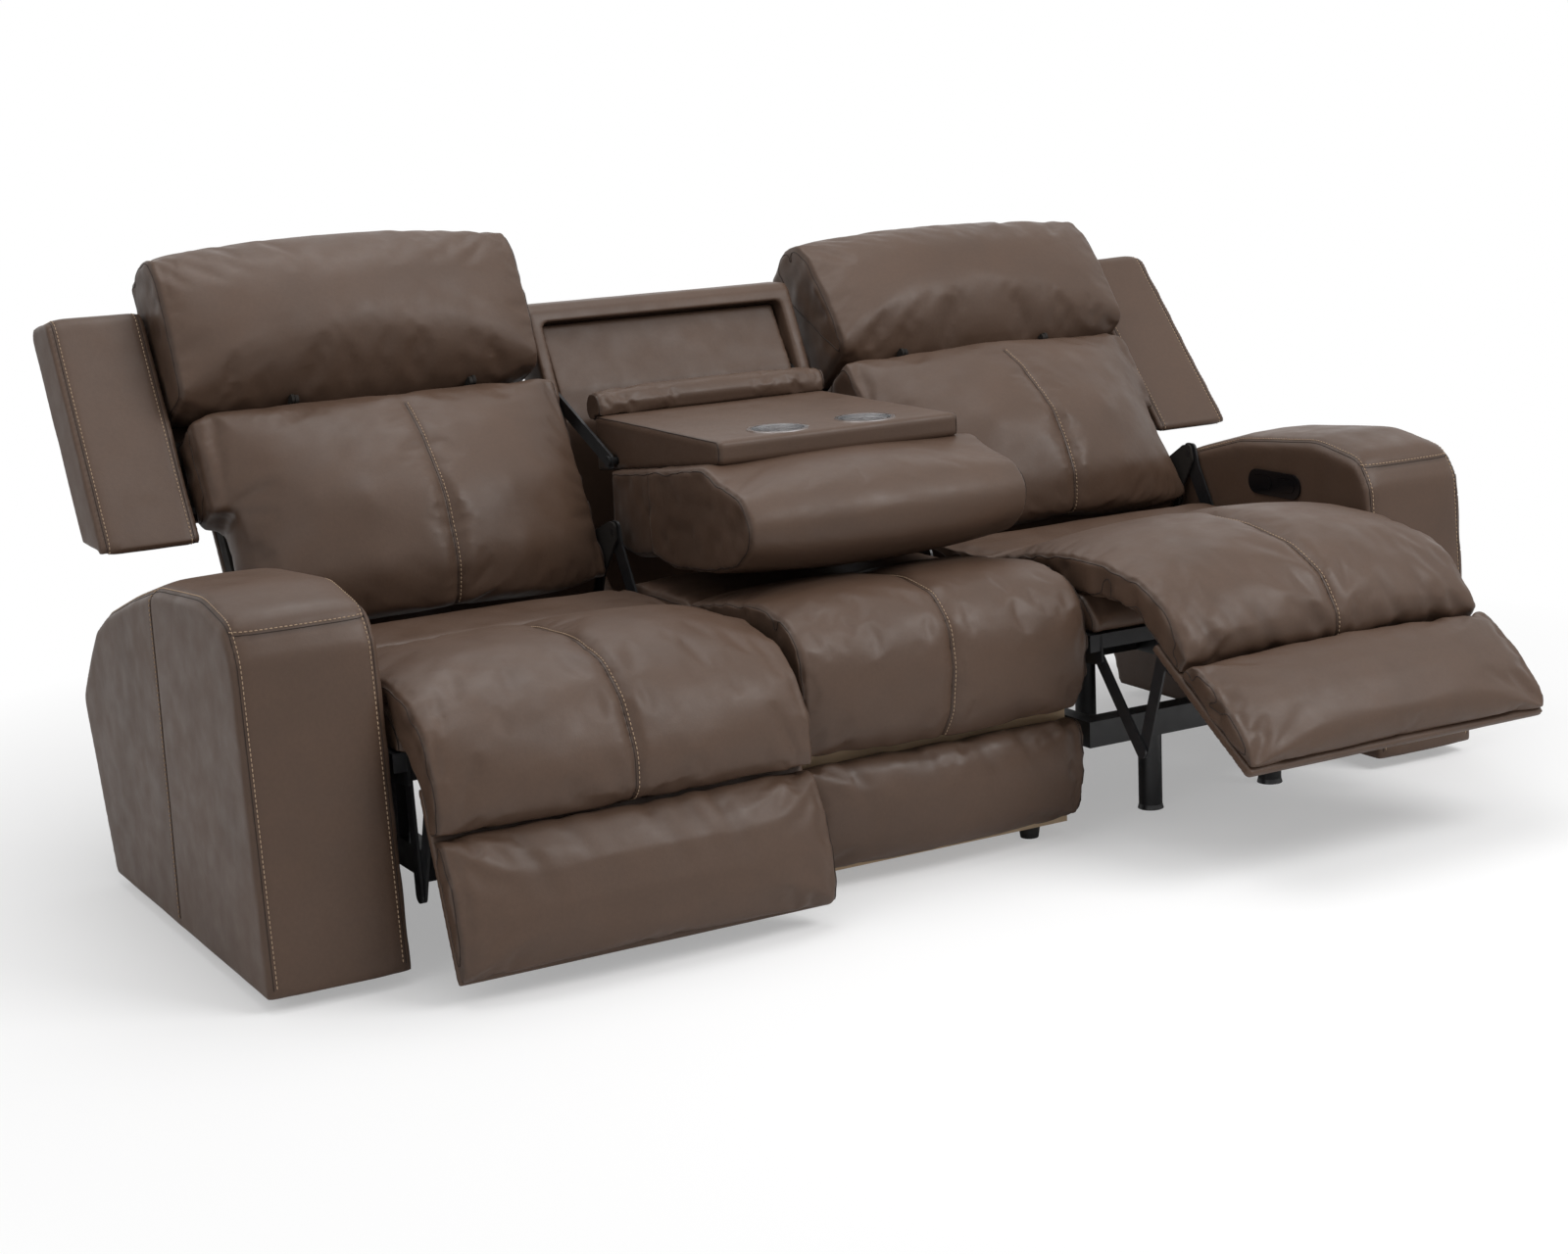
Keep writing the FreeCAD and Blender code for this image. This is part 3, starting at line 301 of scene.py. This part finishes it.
def apply_modifiers(obj):
    graph = bpy.context.evaluated_depsgraph_get()
    mesh = bpy.data.meshes.new_from_object(obj.evaluated_get(graph))
    obj.modifiers.clear()
    obj.data = mesh
    return obj


def shell_of(node, name, voxel, drop=None):
    """Closed even mesh over the CAD node, with faces that drop(centre, normal) names left out."""
    mesh = NODES[node].data.copy()
    bm = bmesh.new()
    bm.from_mesh(mesh)
    bmesh.ops.remove_doubles(bm, verts=bm.verts, dist=1e-5)
    if drop:
        bm.normal_update()
        gone = [f for f in bm.faces if drop(f.calc_center_median(), f.normal)]
        bmesh.ops.delete(bm, geom=gone, context="FACES")
        rim = [e for e in bm.edges if e.is_boundary]
        bmesh.ops.holes_fill(bm, edges=rim, sides=0)
        bmesh.ops.recalc_face_normals(bm, faces=bm.faces)
    bm.to_mesh(mesh)
    bm.free()
    mesh.materials.clear()
    obj = link(name, mesh)
    skin = obj.modifiers.new("skin", "REMESH")
    skin.mode = "VOXEL"
    skin.voxel_size = voxel
    return apply_modifiers(obj)


def relax(obj, rounds, share=0.5, hold=0.53):
    """Smooths without shrinking: each round in is followed by a slightly larger one out."""
    co, e = points_of(obj), edges_of(obj)
    count = np.bincount(e.ravel(), minlength=len(co)).astype(float)[:, None]
    for i in range(rounds * 2):
        total = np.zeros_like(co)
        np.add.at(total, e[:, 0], co[e[:, 1]])
        np.add.at(total, e[:, 1], co[e[:, 0]])
        step = total / count - co
        co = co + step * (share if i % 2 == 0 else -hold)
    set_points(obj, co)


def subdivide(obj):
    mod = obj.modifiers.new("finer", "SUBSURF")
    mod.levels = 1
    mod.render_levels = 1
    return apply_modifiers(obj)


# painted shade, stored per vertex and read by the leather material
def painted_shade_values(obj):
    layer = obj.data.attributes.get("shade") or obj.data.attributes.new("shade", "FLOAT", "POINT")
    values = np.empty(len(obj.data.vertices), np.float32)
    layer.data.foreach_get("value", values)
    return layer, values.astype(float)


# painted shade: adds the given amount to the stored values, up to 0.9
def paint_shade(obj, amount):
    layer, values = painted_shade_values(obj)
    layer.data.foreach_set("value", np.clip(values + amount, 0, 0.9).astype(np.float32))


def push(obj, height, dark=0.0):
    """Moves the surface out along its normals, and paints shade onto it where it goes in."""
    set_points(obj, points_of(obj) + normals_of(obj) * height[:, None])
    if dark:
        paint_shade(obj, np.clip(-height * dark, 0, 1))


def groove(obj, axis, at, width=0.004, depth=0.0025, keep=None):
    """Sewn line in the plane where that axis has this value, with painted shade along its groove."""
    co = points_of(obj)
    d = np.abs(co[:, axis] - at)
    dip = np.exp(-(d / width) ** 2)
    if keep is not None:
        dip = dip * keep(co)
    push(obj, -depth * dip)
    paint_shade(obj, 0.5 * np.exp(-(d / (width * 0.7)) ** 2) * (1 if keep is None else keep(co)))


def gather(obj, distance, along, reach, depth, seed, dark=60.0):
    """Puckers that start at a sewn line and fade away from it, with painted shade in their hollows."""
    h = ripple(along, 1.0, seed)
    h = np.where(h > 0, h, 1.4 * h)
    push(obj, depth * h * np.exp(-(distance / reach) ** 1.5), dark)


def section(obj, axis, at):
    """Loops where the plane cuts the mesh, longest first, each an array of points."""
    co, e = points_of(obj), edges_of(obj)
    s = co[:, axis] - at
    s = np.where(np.abs(s) < 1e-7, 1e-7, s)
    crossing = s[e[:, 0]] * s[e[:, 1]] < 0
    spots = {}
    for i in np.nonzero(crossing)[0]:
        a, b = e[i]
        t = s[a] / (s[a] - s[b])
        spots[int(i)] = co[a] + (co[b] - co[a]) * t
    loops_edge = np.empty(len(obj.data.loops), np.int64)
    obj.data.loops.foreach_get("edge_index", loops_edge)
    starts = np.empty(len(obj.data.polygons), np.int64)
    obj.data.polygons.foreach_get("loop_start", starts)
    counts = np.empty(len(obj.data.polygons), np.int64)
    obj.data.polygons.foreach_get("loop_total", counts)
    flags = crossing[loops_edge].astype(np.int64)
    hits = np.add.reduceat(flags, starts)
    joins = {}
    for p in np.nonzero(hits == 2)[0]:
        pair = [int(k) for k in loops_edge[starts[p]:starts[p] + counts[p]] if crossing[k]]
        joins.setdefault(pair[0], []).append(pair[1])
        joins.setdefault(pair[1], []).append(pair[0])
    paths, seen = [], set()
    for first in joins:
        if first in seen:
            continue
        path, here = [first], first
        seen.add(first)
        while True:
            onward = [k for k in joins[here] if k not in seen]
            if not onward:
                break
            here = onward[0]
            seen.add(here)
            path.append(here)
        paths.append(np.array([spots[k] for k in path]))
    return sorted(paths, key=len, reverse=True)


def even(path, pitch):
    """Points spaced evenly along a path."""
    step = np.linalg.norm(np.diff(path, axis=0), axis=1)
    s = np.concatenate([[0], np.cumsum(step)])
    count = max(2, int(round(s[-1] / pitch)))
    where = np.linspace(0, s[-1], count + 1)
    return np.stack([np.interp(where, s, path[:, k]) for k in range(3)], axis=1)


def smooth_path(path, rounds=4):
    path = path.copy()
    for _ in range(rounds):
        path[1:-1] = path[1:-1] * 0.5 + (path[:-2] + path[2:]) * 0.25
    return path


def kept_runs(path, keep):
    """Stretches of a path for which keep is true."""
    ok = keep(path)
    if ok.all():
        return [path]
    start = int(np.argmin(ok))
    path, ok = np.roll(path, -start, axis=0), np.roll(ok, -start)
    runs, run = [], []
    for p, good in zip(path, ok):
        if good:
            run.append(p)
        elif len(run) > 3:
            runs.append(np.array(run))
            run = []
        else:
            run = []
    if len(run) > 3:
        runs.append(np.array(run))
    return runs


def everywhere(p):
    return np.ones(len(p), bool)


def seam_runs(obj, axis, at, keep, closed=True):
    """Stretches of the outer seam loop in a plane for which keep is true."""
    runs = []
    for loop in section(obj, axis, at)[:1]:
        loop = np.vstack([loop, loop[:1]]) if closed else loop
        runs += kept_runs(loop, keep or everywhere)
    return runs


class Sewing:
    """Collects the seam cords and stitches of one leather piece as two meshes."""

    def __init__(self, obj):
        self.obj = obj
        self.tree = BVHTree.FromPolygons([v.co.copy() for v in obj.data.vertices],
                                         [p.vertices[:] for p in obj.data.polygons])
        self.cord_parts = ([], [])
        self.thread_parts = ([], [])

    def on_surface(self, p):
        place, normal, _, _ = self.tree.find_nearest(Vector(p))
        return place, normal

    def tube(self, parts, centres, radii, sides, normals):
        """One closed tube through centres, turned to follow the surface normals."""
        verts, faces = parts
        base = len(verts)
        count = len(centres)
        for i in range(count):
            t = (centres[min(i + 1, count - 1)] - centres[max(i - 1, 0)]).normalized()
            n = (normals[i] - t * normals[i].dot(t)).normalized()
            b = t.cross(n)
            for k in range(sides):
                a = 2 * math.pi * k / sides
                verts.append(centres[i] + (n * math.cos(a) + b * math.sin(a)) * radii[i])
        for i in range(count - 1):
            for k in range(sides):
                a, b = base + i * sides + k, base + i * sides + (k + 1) % sides
                faces.append((a, b, b + sides, a + sides))
        faces.append(tuple(base + k for k in reversed(range(sides))))
        faces.append(tuple(base + (count - 1) * sides + k for k in range(sides)))

    def cord(self, path, radius=SEAM_RADIUS):
        pts = even(smooth_path(path), 0.006)
        found = [self.on_surface(p) for p in pts]
        centres = [place + normal * radius * 0.1 for place, normal in found]
        self.tube(self.cord_parts, centres, [radius] * len(centres), 6, [n for _, n in found])

    def stitches(self, path):
        pts = even(smooth_path(path), STITCH_PITCH)
        for i in range(len(pts) - 1):
            a = Vector(pts[i])
            step = Vector(pts[i + 1]) - a
            if step.length < STITCH_PITCH * 0.5:
                continue
            step.normalize()
            dash = []
            for share in (0.0, 0.18, 0.5, 0.82, 1.0):
                place, normal = self.on_surface(a + step * STITCH_LENGTH * share)
                rise = 0.55 if 0 < share < 1 else -0.4
                dash.append((place + normal * STITCH_RADIUS * rise, normal))
            radii = [STITCH_RADIUS * r for r in (0.6, 1.0, 1.1, 1.0, 0.6)]
            self.tube(self.thread_parts, [c for c, _ in dash], radii, 6, [n for _, n in dash])

    def finish(self, attach):
        for suffix, parts, material in (("_seams", self.cord_parts, "seam"),
                                        ("_stitching", self.thread_parts, "thread")):
            if not parts[0]:
                continue
            mesh = bpy.data.meshes.new(self.obj.name + suffix)
            mesh.from_pydata(parts[0], [], parts[1])
            mesh.materials.append(MATERIALS[material])
            for p in mesh.polygons:
                p.use_smooth = True
            piece = link(self.obj.name + suffix, mesh)
            attach(piece)


def finish_leather(obj, node, attach):
    obj.data.materials.clear()
    obj.data.materials.append(MATERIALS["leather"])
    for p in obj.data.polygons:
        p.use_smooth = True
    painted_shade_values(obj)
    layer = obj.data.attributes.new("rest_place", "FLOAT_VECTOR", "POINT")
    layer.data.foreach_set("vector", points_of(obj).astype(np.float32).ravel())
    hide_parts(node)
    attach(obj)
    return obj


def riding(body):
    return lambda piece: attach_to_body(piece, body)


def swell(obj, pinned, pressure=4.0, frames=14, cap=0.02, grow=0.0):
    """Blows the piece up as sewn cloth between its pinned lines."""
    before = points_of(obj)
    group = obj.vertex_groups.new(name="pin")
    weights = np.clip(pinned, 0, 1)
    for level in np.unique(np.round(weights, 1)):
        if level > 0:
            group.add(np.nonzero(np.round(weights, 1) == level)[0].tolist(), float(level), "REPLACE")
    cloth = obj.modifiers.new("cloth", "CLOTH")
    s = cloth.settings
    s.quality = 4
    s.mass = 0.4
    s.tension_stiffness = 25
    s.compression_stiffness = 25
    s.shear_stiffness = 12
    s.bending_stiffness = 4
    s.use_pressure = True
    s.uniform_pressure_force = pressure
    s.vertex_group_mass = "pin"
    s.pin_stiffness = 1
    s.shrink_min = -grow
    s.effector_weights.gravity = 0
    cloth.point_cache.frame_start = 1
    cloth.point_cache.frame_end = frames
    scene = bpy.context.scene
    for number in range(1, frames + 1):
        scene.frame_set(number)
    apply_modifiers(obj)
    scene.frame_set(1)
    obj.vertex_groups.clear()
    move = points_of(obj) - before
    size = np.linalg.norm(move, axis=1, keepdims=True)
    set_points(obj, before + move * np.minimum(1.0, cap / np.maximum(size, 1e-9)))


def stay_inside(obj, node, slack=0.0015, axes=(0,)):
    """Keeps the piece between its CAD solid's own end faces."""
    lo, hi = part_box(node)
    co = points_of(obj)
    for k in axes:
        co[:, k] = np.clip(co[:, k], lo[k] - slack, hi[k] + slack)
    set_points(obj, co)


# leather pieces

def near(value, at, width):
    return np.exp(-((value - at) / width) ** 2)


def cushion_piece(node, attach, voxel=0.007, seams=(), gathers=0.0022, end_depth=0.003,
                  centre_keep=None, pressure=4.0, cap=0.012, hold=None, seed=3, folds=(), uneven=0.0014,
                  grow=0.010):
    """Crowned cushion with end panels, welts where they join, and sewn centre seams."""
    obj = shell_of(node, node + "_leather", voxel)
    relax(obj, 3)
    lo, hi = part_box(node)
    co = points_of(obj)
    at_ends = np.maximum(near(co[:, 0], lo.x, 0.007), near(co[:, 0], hi.x, 0.007))
    pinned = at_ends.copy()
    for x in seams:
        pinned = np.maximum(pinned, near(co[:, 0], x, 0.006))
    if hold is not None:
        pinned = np.maximum(pinned, hold(co))
    swell(obj, pinned > 0.45, pressure=pressure, cap=cap, grow=grow)
    relax(obj, 1)
    co = points_of(obj)
    broad = ripple(co, 0.11, seed) * 0.6 + ripple(co, 0.055, seed + 5) * 0.4
    push(obj, uneven * broad)
    for x in (lo.x, hi.x):
        co = points_of(obj)
        along = np.stack([co[:, 0] * 6, co[:, 1] * 42, co[:, 2] * 42], axis=1)
        gather(obj, np.abs(co[:, 0] - x), along, 0.035, gathers, seed + 2)
    for x in seams:
        co = points_of(obj)
        along = np.stack([co[:, 0] * 8, co[:, 1] * 30, co[:, 2] * 30], axis=1)
        gather(obj, np.abs(co[:, 0] - x), along, 0.02, gathers * 0.5, seed + 9)
    for y, z, reach, depth in folds:
        co = points_of(obj)
        d = np.hypot(co[:, 1] - y, co[:, 2] - z)
        along = np.stack([co[:, 0] * 38 + co[:, 2] * 14, co[:, 1] * 5, co[:, 2] * 5], axis=1)
        gather(obj, d, along, reach, depth, seed + 4)
    stay_inside(obj, node)
    subdivide(obj)
    end_seams = (lo.x + END_SEAM_INSET, hi.x - END_SEAM_INSET)
    for x in end_seams:
        groove(obj, 0, x, 0.004, end_depth)
    for x in seams:
        groove(obj, 0, x, 0.0045, 0.003, centre_keep)
    sewing = Sewing(obj)
    for x in end_seams:
        for loop in section(obj, 0, x)[:1]:
            sewing.cord(np.vstack([loop, loop[:1]]))
    for x in seams:
        for run in seam_runs(obj, 0, x, centre_keep, closed=False):
            sewing.cord(run, CENTRE_SEAM_RADIUS)
        for run in seam_runs(obj, 0, x + STITCH_OFFSET, centre_keep, closed=False):
            sewing.stitches(run)
    finish_leather(obj, node, attach)
    sewing.finish(attach)
    return obj


def knee_pads():
    """Each knee pad is covered where its CAD part stands; the turn towards the footrest is worked out, but attach
    only bakes the transform, so the pad and its seams do not bend.
    """
    for side in SIDES:
        node = side + "_knee_pad"
        turn = math.radians(FOOTREST_OPEN[side])
        centre = Vector(JOINTS[side + "_footrest"]["pos_m"])
        start = centre + Vector(KNEE_BLEND_START)
        down = Vector(KNEE_BLEND_DOWN)
        end = centre + Vector((0, down.y * math.cos(turn) + down.z * math.sin(turn),
                               -down.y * math.sin(turn) + down.z * math.cos(turn)))

        def attach(piece, side=side, start=start, end=end):
            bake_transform(piece)

        lo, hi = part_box(node)
        fold_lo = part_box(side + "_lower_pad")[0]
        fold = (fold_lo.y + 0.03, lo.z + 0.012) if side == "left" else (lo.y + 0.02, lo.z + 0.05)
        middle = (lo.x + hi.x) / 2

        def hold(co, hi=hi):
            return (co[:, 1] > hi.y - 0.02).astype(float)

        cushion_piece(node, attach, seams=(middle,), hold=hold,
                      seed=11 if side == "left" else 23,
                      gathers=0.002, folds=((fold[0], fold[1], 0.05, 0.004),),
                      centre_keep=outer_side_of(node))


def outer_side_of(node):
    """Keeps the stretches of a seam that lie on the top and the front of a bent pad."""
    lo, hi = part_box(node)
    inner = np.array([(lo.y + hi.y) / 2 + 0.08, lo.z + (hi.z - lo.z) * 0.25])

    def keep(p):
        rel = p[:, 1:] - inner
        far = np.hypot(rel[:, 0], rel[:, 1])
        return (far > 0.11) & (p[:, 1] < hi.y - 0.012) & ~((p[:, 2] < inner[1] - 0.02) & (rel[:, 0] > 0))
    return keep


def lower_pads():
    for side in SIDES:
        node = side + "_lower_pad"
        lo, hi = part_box(node)
        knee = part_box(side + "_knee_pad")[0]
        fold = (lo.y + 0.03, hi.z) if side == "left" else (knee.y + 0.02, knee.z + 0.05)
        cushion_piece(node, riding(side + "_ottoman"), seed=31 if side == "left" else 37,
                      gathers=0.002, folds=((fold[0], fold[1], 0.06, 0.004),))


def headrests():
    for side in SIDES:
        cushion_piece(side + "_headrest_cushion", riding(side + "_head"),
                      seed=41 if side == "left" else 47,
                      gathers=0.0014, voxel=0.008, pressure=6.0, cap=0.02)


def back_cushions():
    for side in SIDES:
        node = side + "_back_cushion"
        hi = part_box(node)[1]
        seat_lo, seat_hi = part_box(side + "_seat_cushion")
        middle = (seat_lo.x + seat_hi.x) / 2
        top_z = hi.z - 0.012

        def keep(p, hi=hi, top_z=top_z):
            line = hi.y - 0.12 - (hi.z - p[:, 2]) * 0.62
            return (p[:, 1] < line) & (p[:, 2] < top_z)

        cushion_piece(node, riding(side + "_back"), seams=(middle,), voxel=0.008,
                      seed=53 if side == "left" else 59, gathers=0.002, centre_keep=keep)


def seat_cushions():
    for side in SIDES:
        cushion_piece(side + "_seat_cushion", riding(side + "_seat"), seed=61, voxel=0.009,
                      gathers=0.0012, pressure=1.5, cap=0.003)
    cushion_piece("middle_seat_cushion", riding("frame"), seed=67, voxel=0.009,
                  gathers=0.0012, pressure=1.5, cap=0.003)


def middle_pads():
    node = "middle_knee_pad"
    lo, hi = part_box(node)
    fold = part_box("middle_lower_pad")[1].z
    cushion_piece(node, riding("frame"), seams=(0.0,), seed=71, gathers=0.0014, grow=0.006,
                  folds=((lo.y + 0.02, fold, 0.05, 0.004),), centre_keep=outer_side_of(node))
    lo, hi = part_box("middle_lower_pad")
    cushion_piece("middle_lower_pad", riding("frame"), seed=73, gathers=0.0022,
                  folds=((lo.y + 0.02, hi.z, 0.06, 0.004),))


def console_cushions():
    cushion_piece("console_head_cushion", riding("console"), seed=79, gathers=0.0009,
                  pressure=4.0, cap=0.008, voxel=0.006, uneven=0.0006, grow=0.0)
    cushion_piece("console_back_cushion", riding("console"), seed=83, gathers=0.0009,
                  pressure=4.0, cap=0.008, voxel=0.006, uneven=0.0006, grow=0.0)
    cushion_piece("console_roll", riding("console"), seed=89, gathers=0.001, voxel=0.004,
                  pressure=1.0, cap=0.003)


def board_piece(node, body, voxel, welts=(), stitched=(), seed=5, uneven=0.0008, rounds=2,
                drop=None):
    """Leather drawn tight over a board or a firm form, with seams given as (axis, place, keep)."""
    obj = shell_of(node, node + "_leather", voxel, drop)
    relax(obj, rounds)
    co = points_of(obj)
    push(obj, uneven * (ripple(co, 0.09, seed) * 0.7 + ripple(co, 0.04, seed + 1) * 0.3))
    for axis, at, keep in list(welts) + [(a, v, k) for a, v, _, k in stitched]:
        groove(obj, axis, at, 0.0045, 0.002, keep or everywhere)
    sewing = Sewing(obj)
    for axis, at, keep in welts:
        for run in seam_runs(obj, axis, at, keep):
            sewing.cord(run)
    for axis, at, offset, keep in stitched:
        for run in seam_runs(obj, axis, at, keep):
            sewing.cord(run, CENTRE_SEAM_RADIUS)
        for run in seam_runs(obj, axis, at + offset, keep):
            sewing.stitches(run)
    finish_leather(obj, node, riding(body))
    sewing.finish(riding(body))
    return obj


def arms():
    for side in SIDES:
        node = side + "_arm_cover"
        lo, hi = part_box(node)
        middle = (lo + hi) / 2
        sign = SIGN[side]

        def inner_face(c, n, lo=lo, hi=hi, middle=middle):
            inside = lo.x + ARM_WALL < c.x < hi.x - ARM_WALL and c.z > lo.z + 0.0005
            outward = Vector((c.x - middle.x, (c.y - middle.y) * 0.5, c.z - lo.z - 0.2))
            return inside and n.dot(outward) < 0

        front_y = lo.y
        floor_z = lo.z

        def edge(p):
            return p[:, 2] > floor_z + 0.01

        def rail(p, middle=middle):
            return (p[:, 1] < front_y + 0.10) & (np.abs(p[:, 0] - middle.x) < ARM_HALF_WIDTH - ARM_EDGE)

        def side_seam(p, sign=sign, middle=middle):
            return ((p[:, 0] - middle.x) * sign > 0.085) & (p[:, 2] > floor_z + 0.01)

        outer_x = middle.x + sign * (ARM_HALF_WIDTH - ARM_EDGE)
        inner_x = middle.x - sign * (ARM_HALF_WIDTH - ARM_EDGE)
        board_piece(node, "frame", 0.0075, seed=91, uneven=0.0006, rounds=3, drop=inner_face,
                    stitched=((0, outer_x, -sign * STITCH_OFFSET, edge),
                              (0, inner_x, sign * STITCH_OFFSET, edge),
                              (2, ARM_TOP_SEAM_Z, STITCH_OFFSET, rail),
                              (1, ARM_SIDE_SEAM_Y + ORIGIN_Y, STITCH_OFFSET, side_seam)))


def wings():
    for side in SIDES:
        node = side + "_wing"
        lo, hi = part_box(node)
        slope = (hi.y - lo.y - 0.1) / (hi.z - lo.z)

        def front(p, lo=lo, slope=slope):
            return p[:, 1] < lo.y + 0.075 + (p[:, 2] - lo.z) * slope

        board_piece(node, side + "_back", 0.006, seed=97, uneven=0.0016, rounds=3,
                    stitched=((0, lo.x + WING_SEAM_INSET, STITCH_OFFSET, front),
                              (0, hi.x - WING_SEAM_INSET, -STITCH_OFFSET, front)))


def console_boards():
    lo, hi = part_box("console_tray")
    board_piece("console_tray", "console", 0.005, seed=101, uneven=0.0005, rounds=2,
                welts=((0, lo.x + 0.004, None), (0, hi.x - 0.004, None)))
    board_piece("recess_panel", "frame", 0.005, seed=103, uneven=0.0012, rounds=2)
    board_piece("console_surround", "frame", 0.006, seed=107, uneven=0.0008, rounds=2)
    for side in SIDES:
        board_piece(side + "_back_shell", side + "_back", 0.007, seed=109, uneven=0.0008, rounds=2)
        board_piece(side + "_ottoman_board", side + "_ottoman", 0.005, seed=113, uneven=0.0004, rounds=2)


def dress_hard_nodes():
    slots = {s["node"]: s["material_slot"] for s in frame["record"]["subparts"]}
    for node, obj in NODES.items():
        lined = node.endswith(("back_frame", "headrest_frame"))
        if slots[node] != "leather":
            obj.data.materials.clear()
            obj.data.materials.append(MATERIALS["lining" if lined else slots[node]])


# studio

def make_floor():
    """Pale floor that takes the shadow near the object and goes to white further out."""
    mesh = bpy.data.meshes.new("floor")
    reach = 30.0
    mesh.from_pydata([(-reach, -reach, 0), (reach, -reach, 0), (reach, reach, 0), (-reach, reach, 0)],
                     [], [(0, 1, 2, 3)])
    floor = link("floor", mesh)
    mat, tree, shader = new_material("floor", (0.93, 0.93, 0.93), 0.9, specular=0.1)
    white = tree.nodes.new("ShaderNodeEmission")
    white.inputs["Color"].default_value = (1, 1, 1, 1)
    mix = tree.nodes.new("ShaderNodeMixShader")
    coords = tree.nodes.new("ShaderNodeTexCoord").outputs["Object"]
    far = tree.nodes.new("ShaderNodeVectorMath")
    far.operation = "LENGTH"
    tree.links.new(coords, far.inputs[0])
    edge = spread(tree, far.outputs["Value"], 0.35, 1.0, 1.1, 2.2)
    ray = tree.nodes.new("ShaderNodeLightPath").outputs["Is Camera Ray"]
    both = tree.nodes.new("ShaderNodeMath")
    both.operation = "MULTIPLY"
    tree.links.new(edge, both.inputs[0])
    tree.links.new(ray, both.inputs[1])
    tree.links.new(both.outputs[0], mix.inputs[0])
    tree.links.new(shader.outputs[0], mix.inputs[1])
    tree.links.new(white.outputs[0], mix.inputs[2])
    tree.links.new(mix.outputs[0], tree.nodes["Material Output"].inputs[0])
    mesh.materials.append(mat)


def make_world():
    world = bpy.data.worlds.new("studio")
    bpy.context.scene.world = world
    world.use_nodes = True
    tree = world.node_tree
    back = tree.nodes["Background"]
    back.inputs["Color"].default_value = (1, 1, 1, 1)
    path = tree.nodes.new("ShaderNodeLightPath")
    seen = None
    for name in ("Is Camera Ray", "Is Glossy Ray", "Is Transmission Ray"):
        if seen is None:
            seen = path.outputs[name]
            continue
        most = tree.nodes.new("ShaderNodeMath")
        most.operation = "MAXIMUM"
        tree.links.new(seen, most.inputs[0])
        tree.links.new(path.outputs[name], most.inputs[1])
        seen = most.outputs[0]
    tree.links.new(spread(tree, seen, 0.42, 1.0, 0.0, 1.0), back.inputs["Strength"])


def add_lamp(name, place, aim, size, power):
    data = bpy.data.lights.new(name, "AREA")
    data.shape = "RECTANGLE"
    data.size, data.size_y = size
    data.energy = power
    lamp = bpy.data.objects.new(name, data)
    bpy.context.scene.collection.objects.link(lamp)
    lamp.location = place
    lamp.rotation_mode = "QUATERNION"
    lamp.rotation_quaternion = (Vector(aim) - Vector(place)).to_track_quat("-Z", "Y")


def make_lights():
    add_lamp("key", (1.6, -2.6, 3.2), (0, -0.1, 0.4), (2.4, 1.8), 90)
    add_lamp("top", (-0.3, 0.3, 3.4), (0, 0, 0.4), (3.0, 2.0), 50)
    add_lamp("fill", (-3.6, -1.6, 1.8), (-0.3, 0, 0.5), (2.0, 2.0), 12)


def make_camera():
    a, e, r = (math.radians(x) for x in (CAMERA_AZIMUTH, CAMERA_ELEVATION, CAMERA_ROLL))
    back = Vector((math.sin(a) * math.cos(e), -math.cos(a) * math.cos(e), math.sin(e)))
    level = Vector((math.cos(a), math.sin(a), 0))
    upright = back.cross(level)
    right = level * math.cos(r) + upright * math.sin(r)
    up = upright * math.cos(r) - level * math.sin(r)
    data = bpy.data.cameras.new("camera")
    data.lens = CAMERA_LENS
    data.sensor_width = SENSOR_WIDTH
    camera = bpy.data.objects.new("camera", data)
    bpy.context.scene.collection.objects.link(camera)
    axes = Matrix((right, up, back)).transposed().to_4x4()
    camera.matrix_world = Matrix.Translation(CAMERA_PLACE) @ axes
    bpy.context.scene.camera = camera


dress_hard_nodes()
knee_pads()
lower_pads()
headrests()
back_cushions()
seat_cushions()
middle_pads()
console_cushions()
arms()
wings()
console_boards()
make_floor()
make_world()
make_lights()
make_camera()
bpy.context.scene.view_settings.view_transform = "Standard"
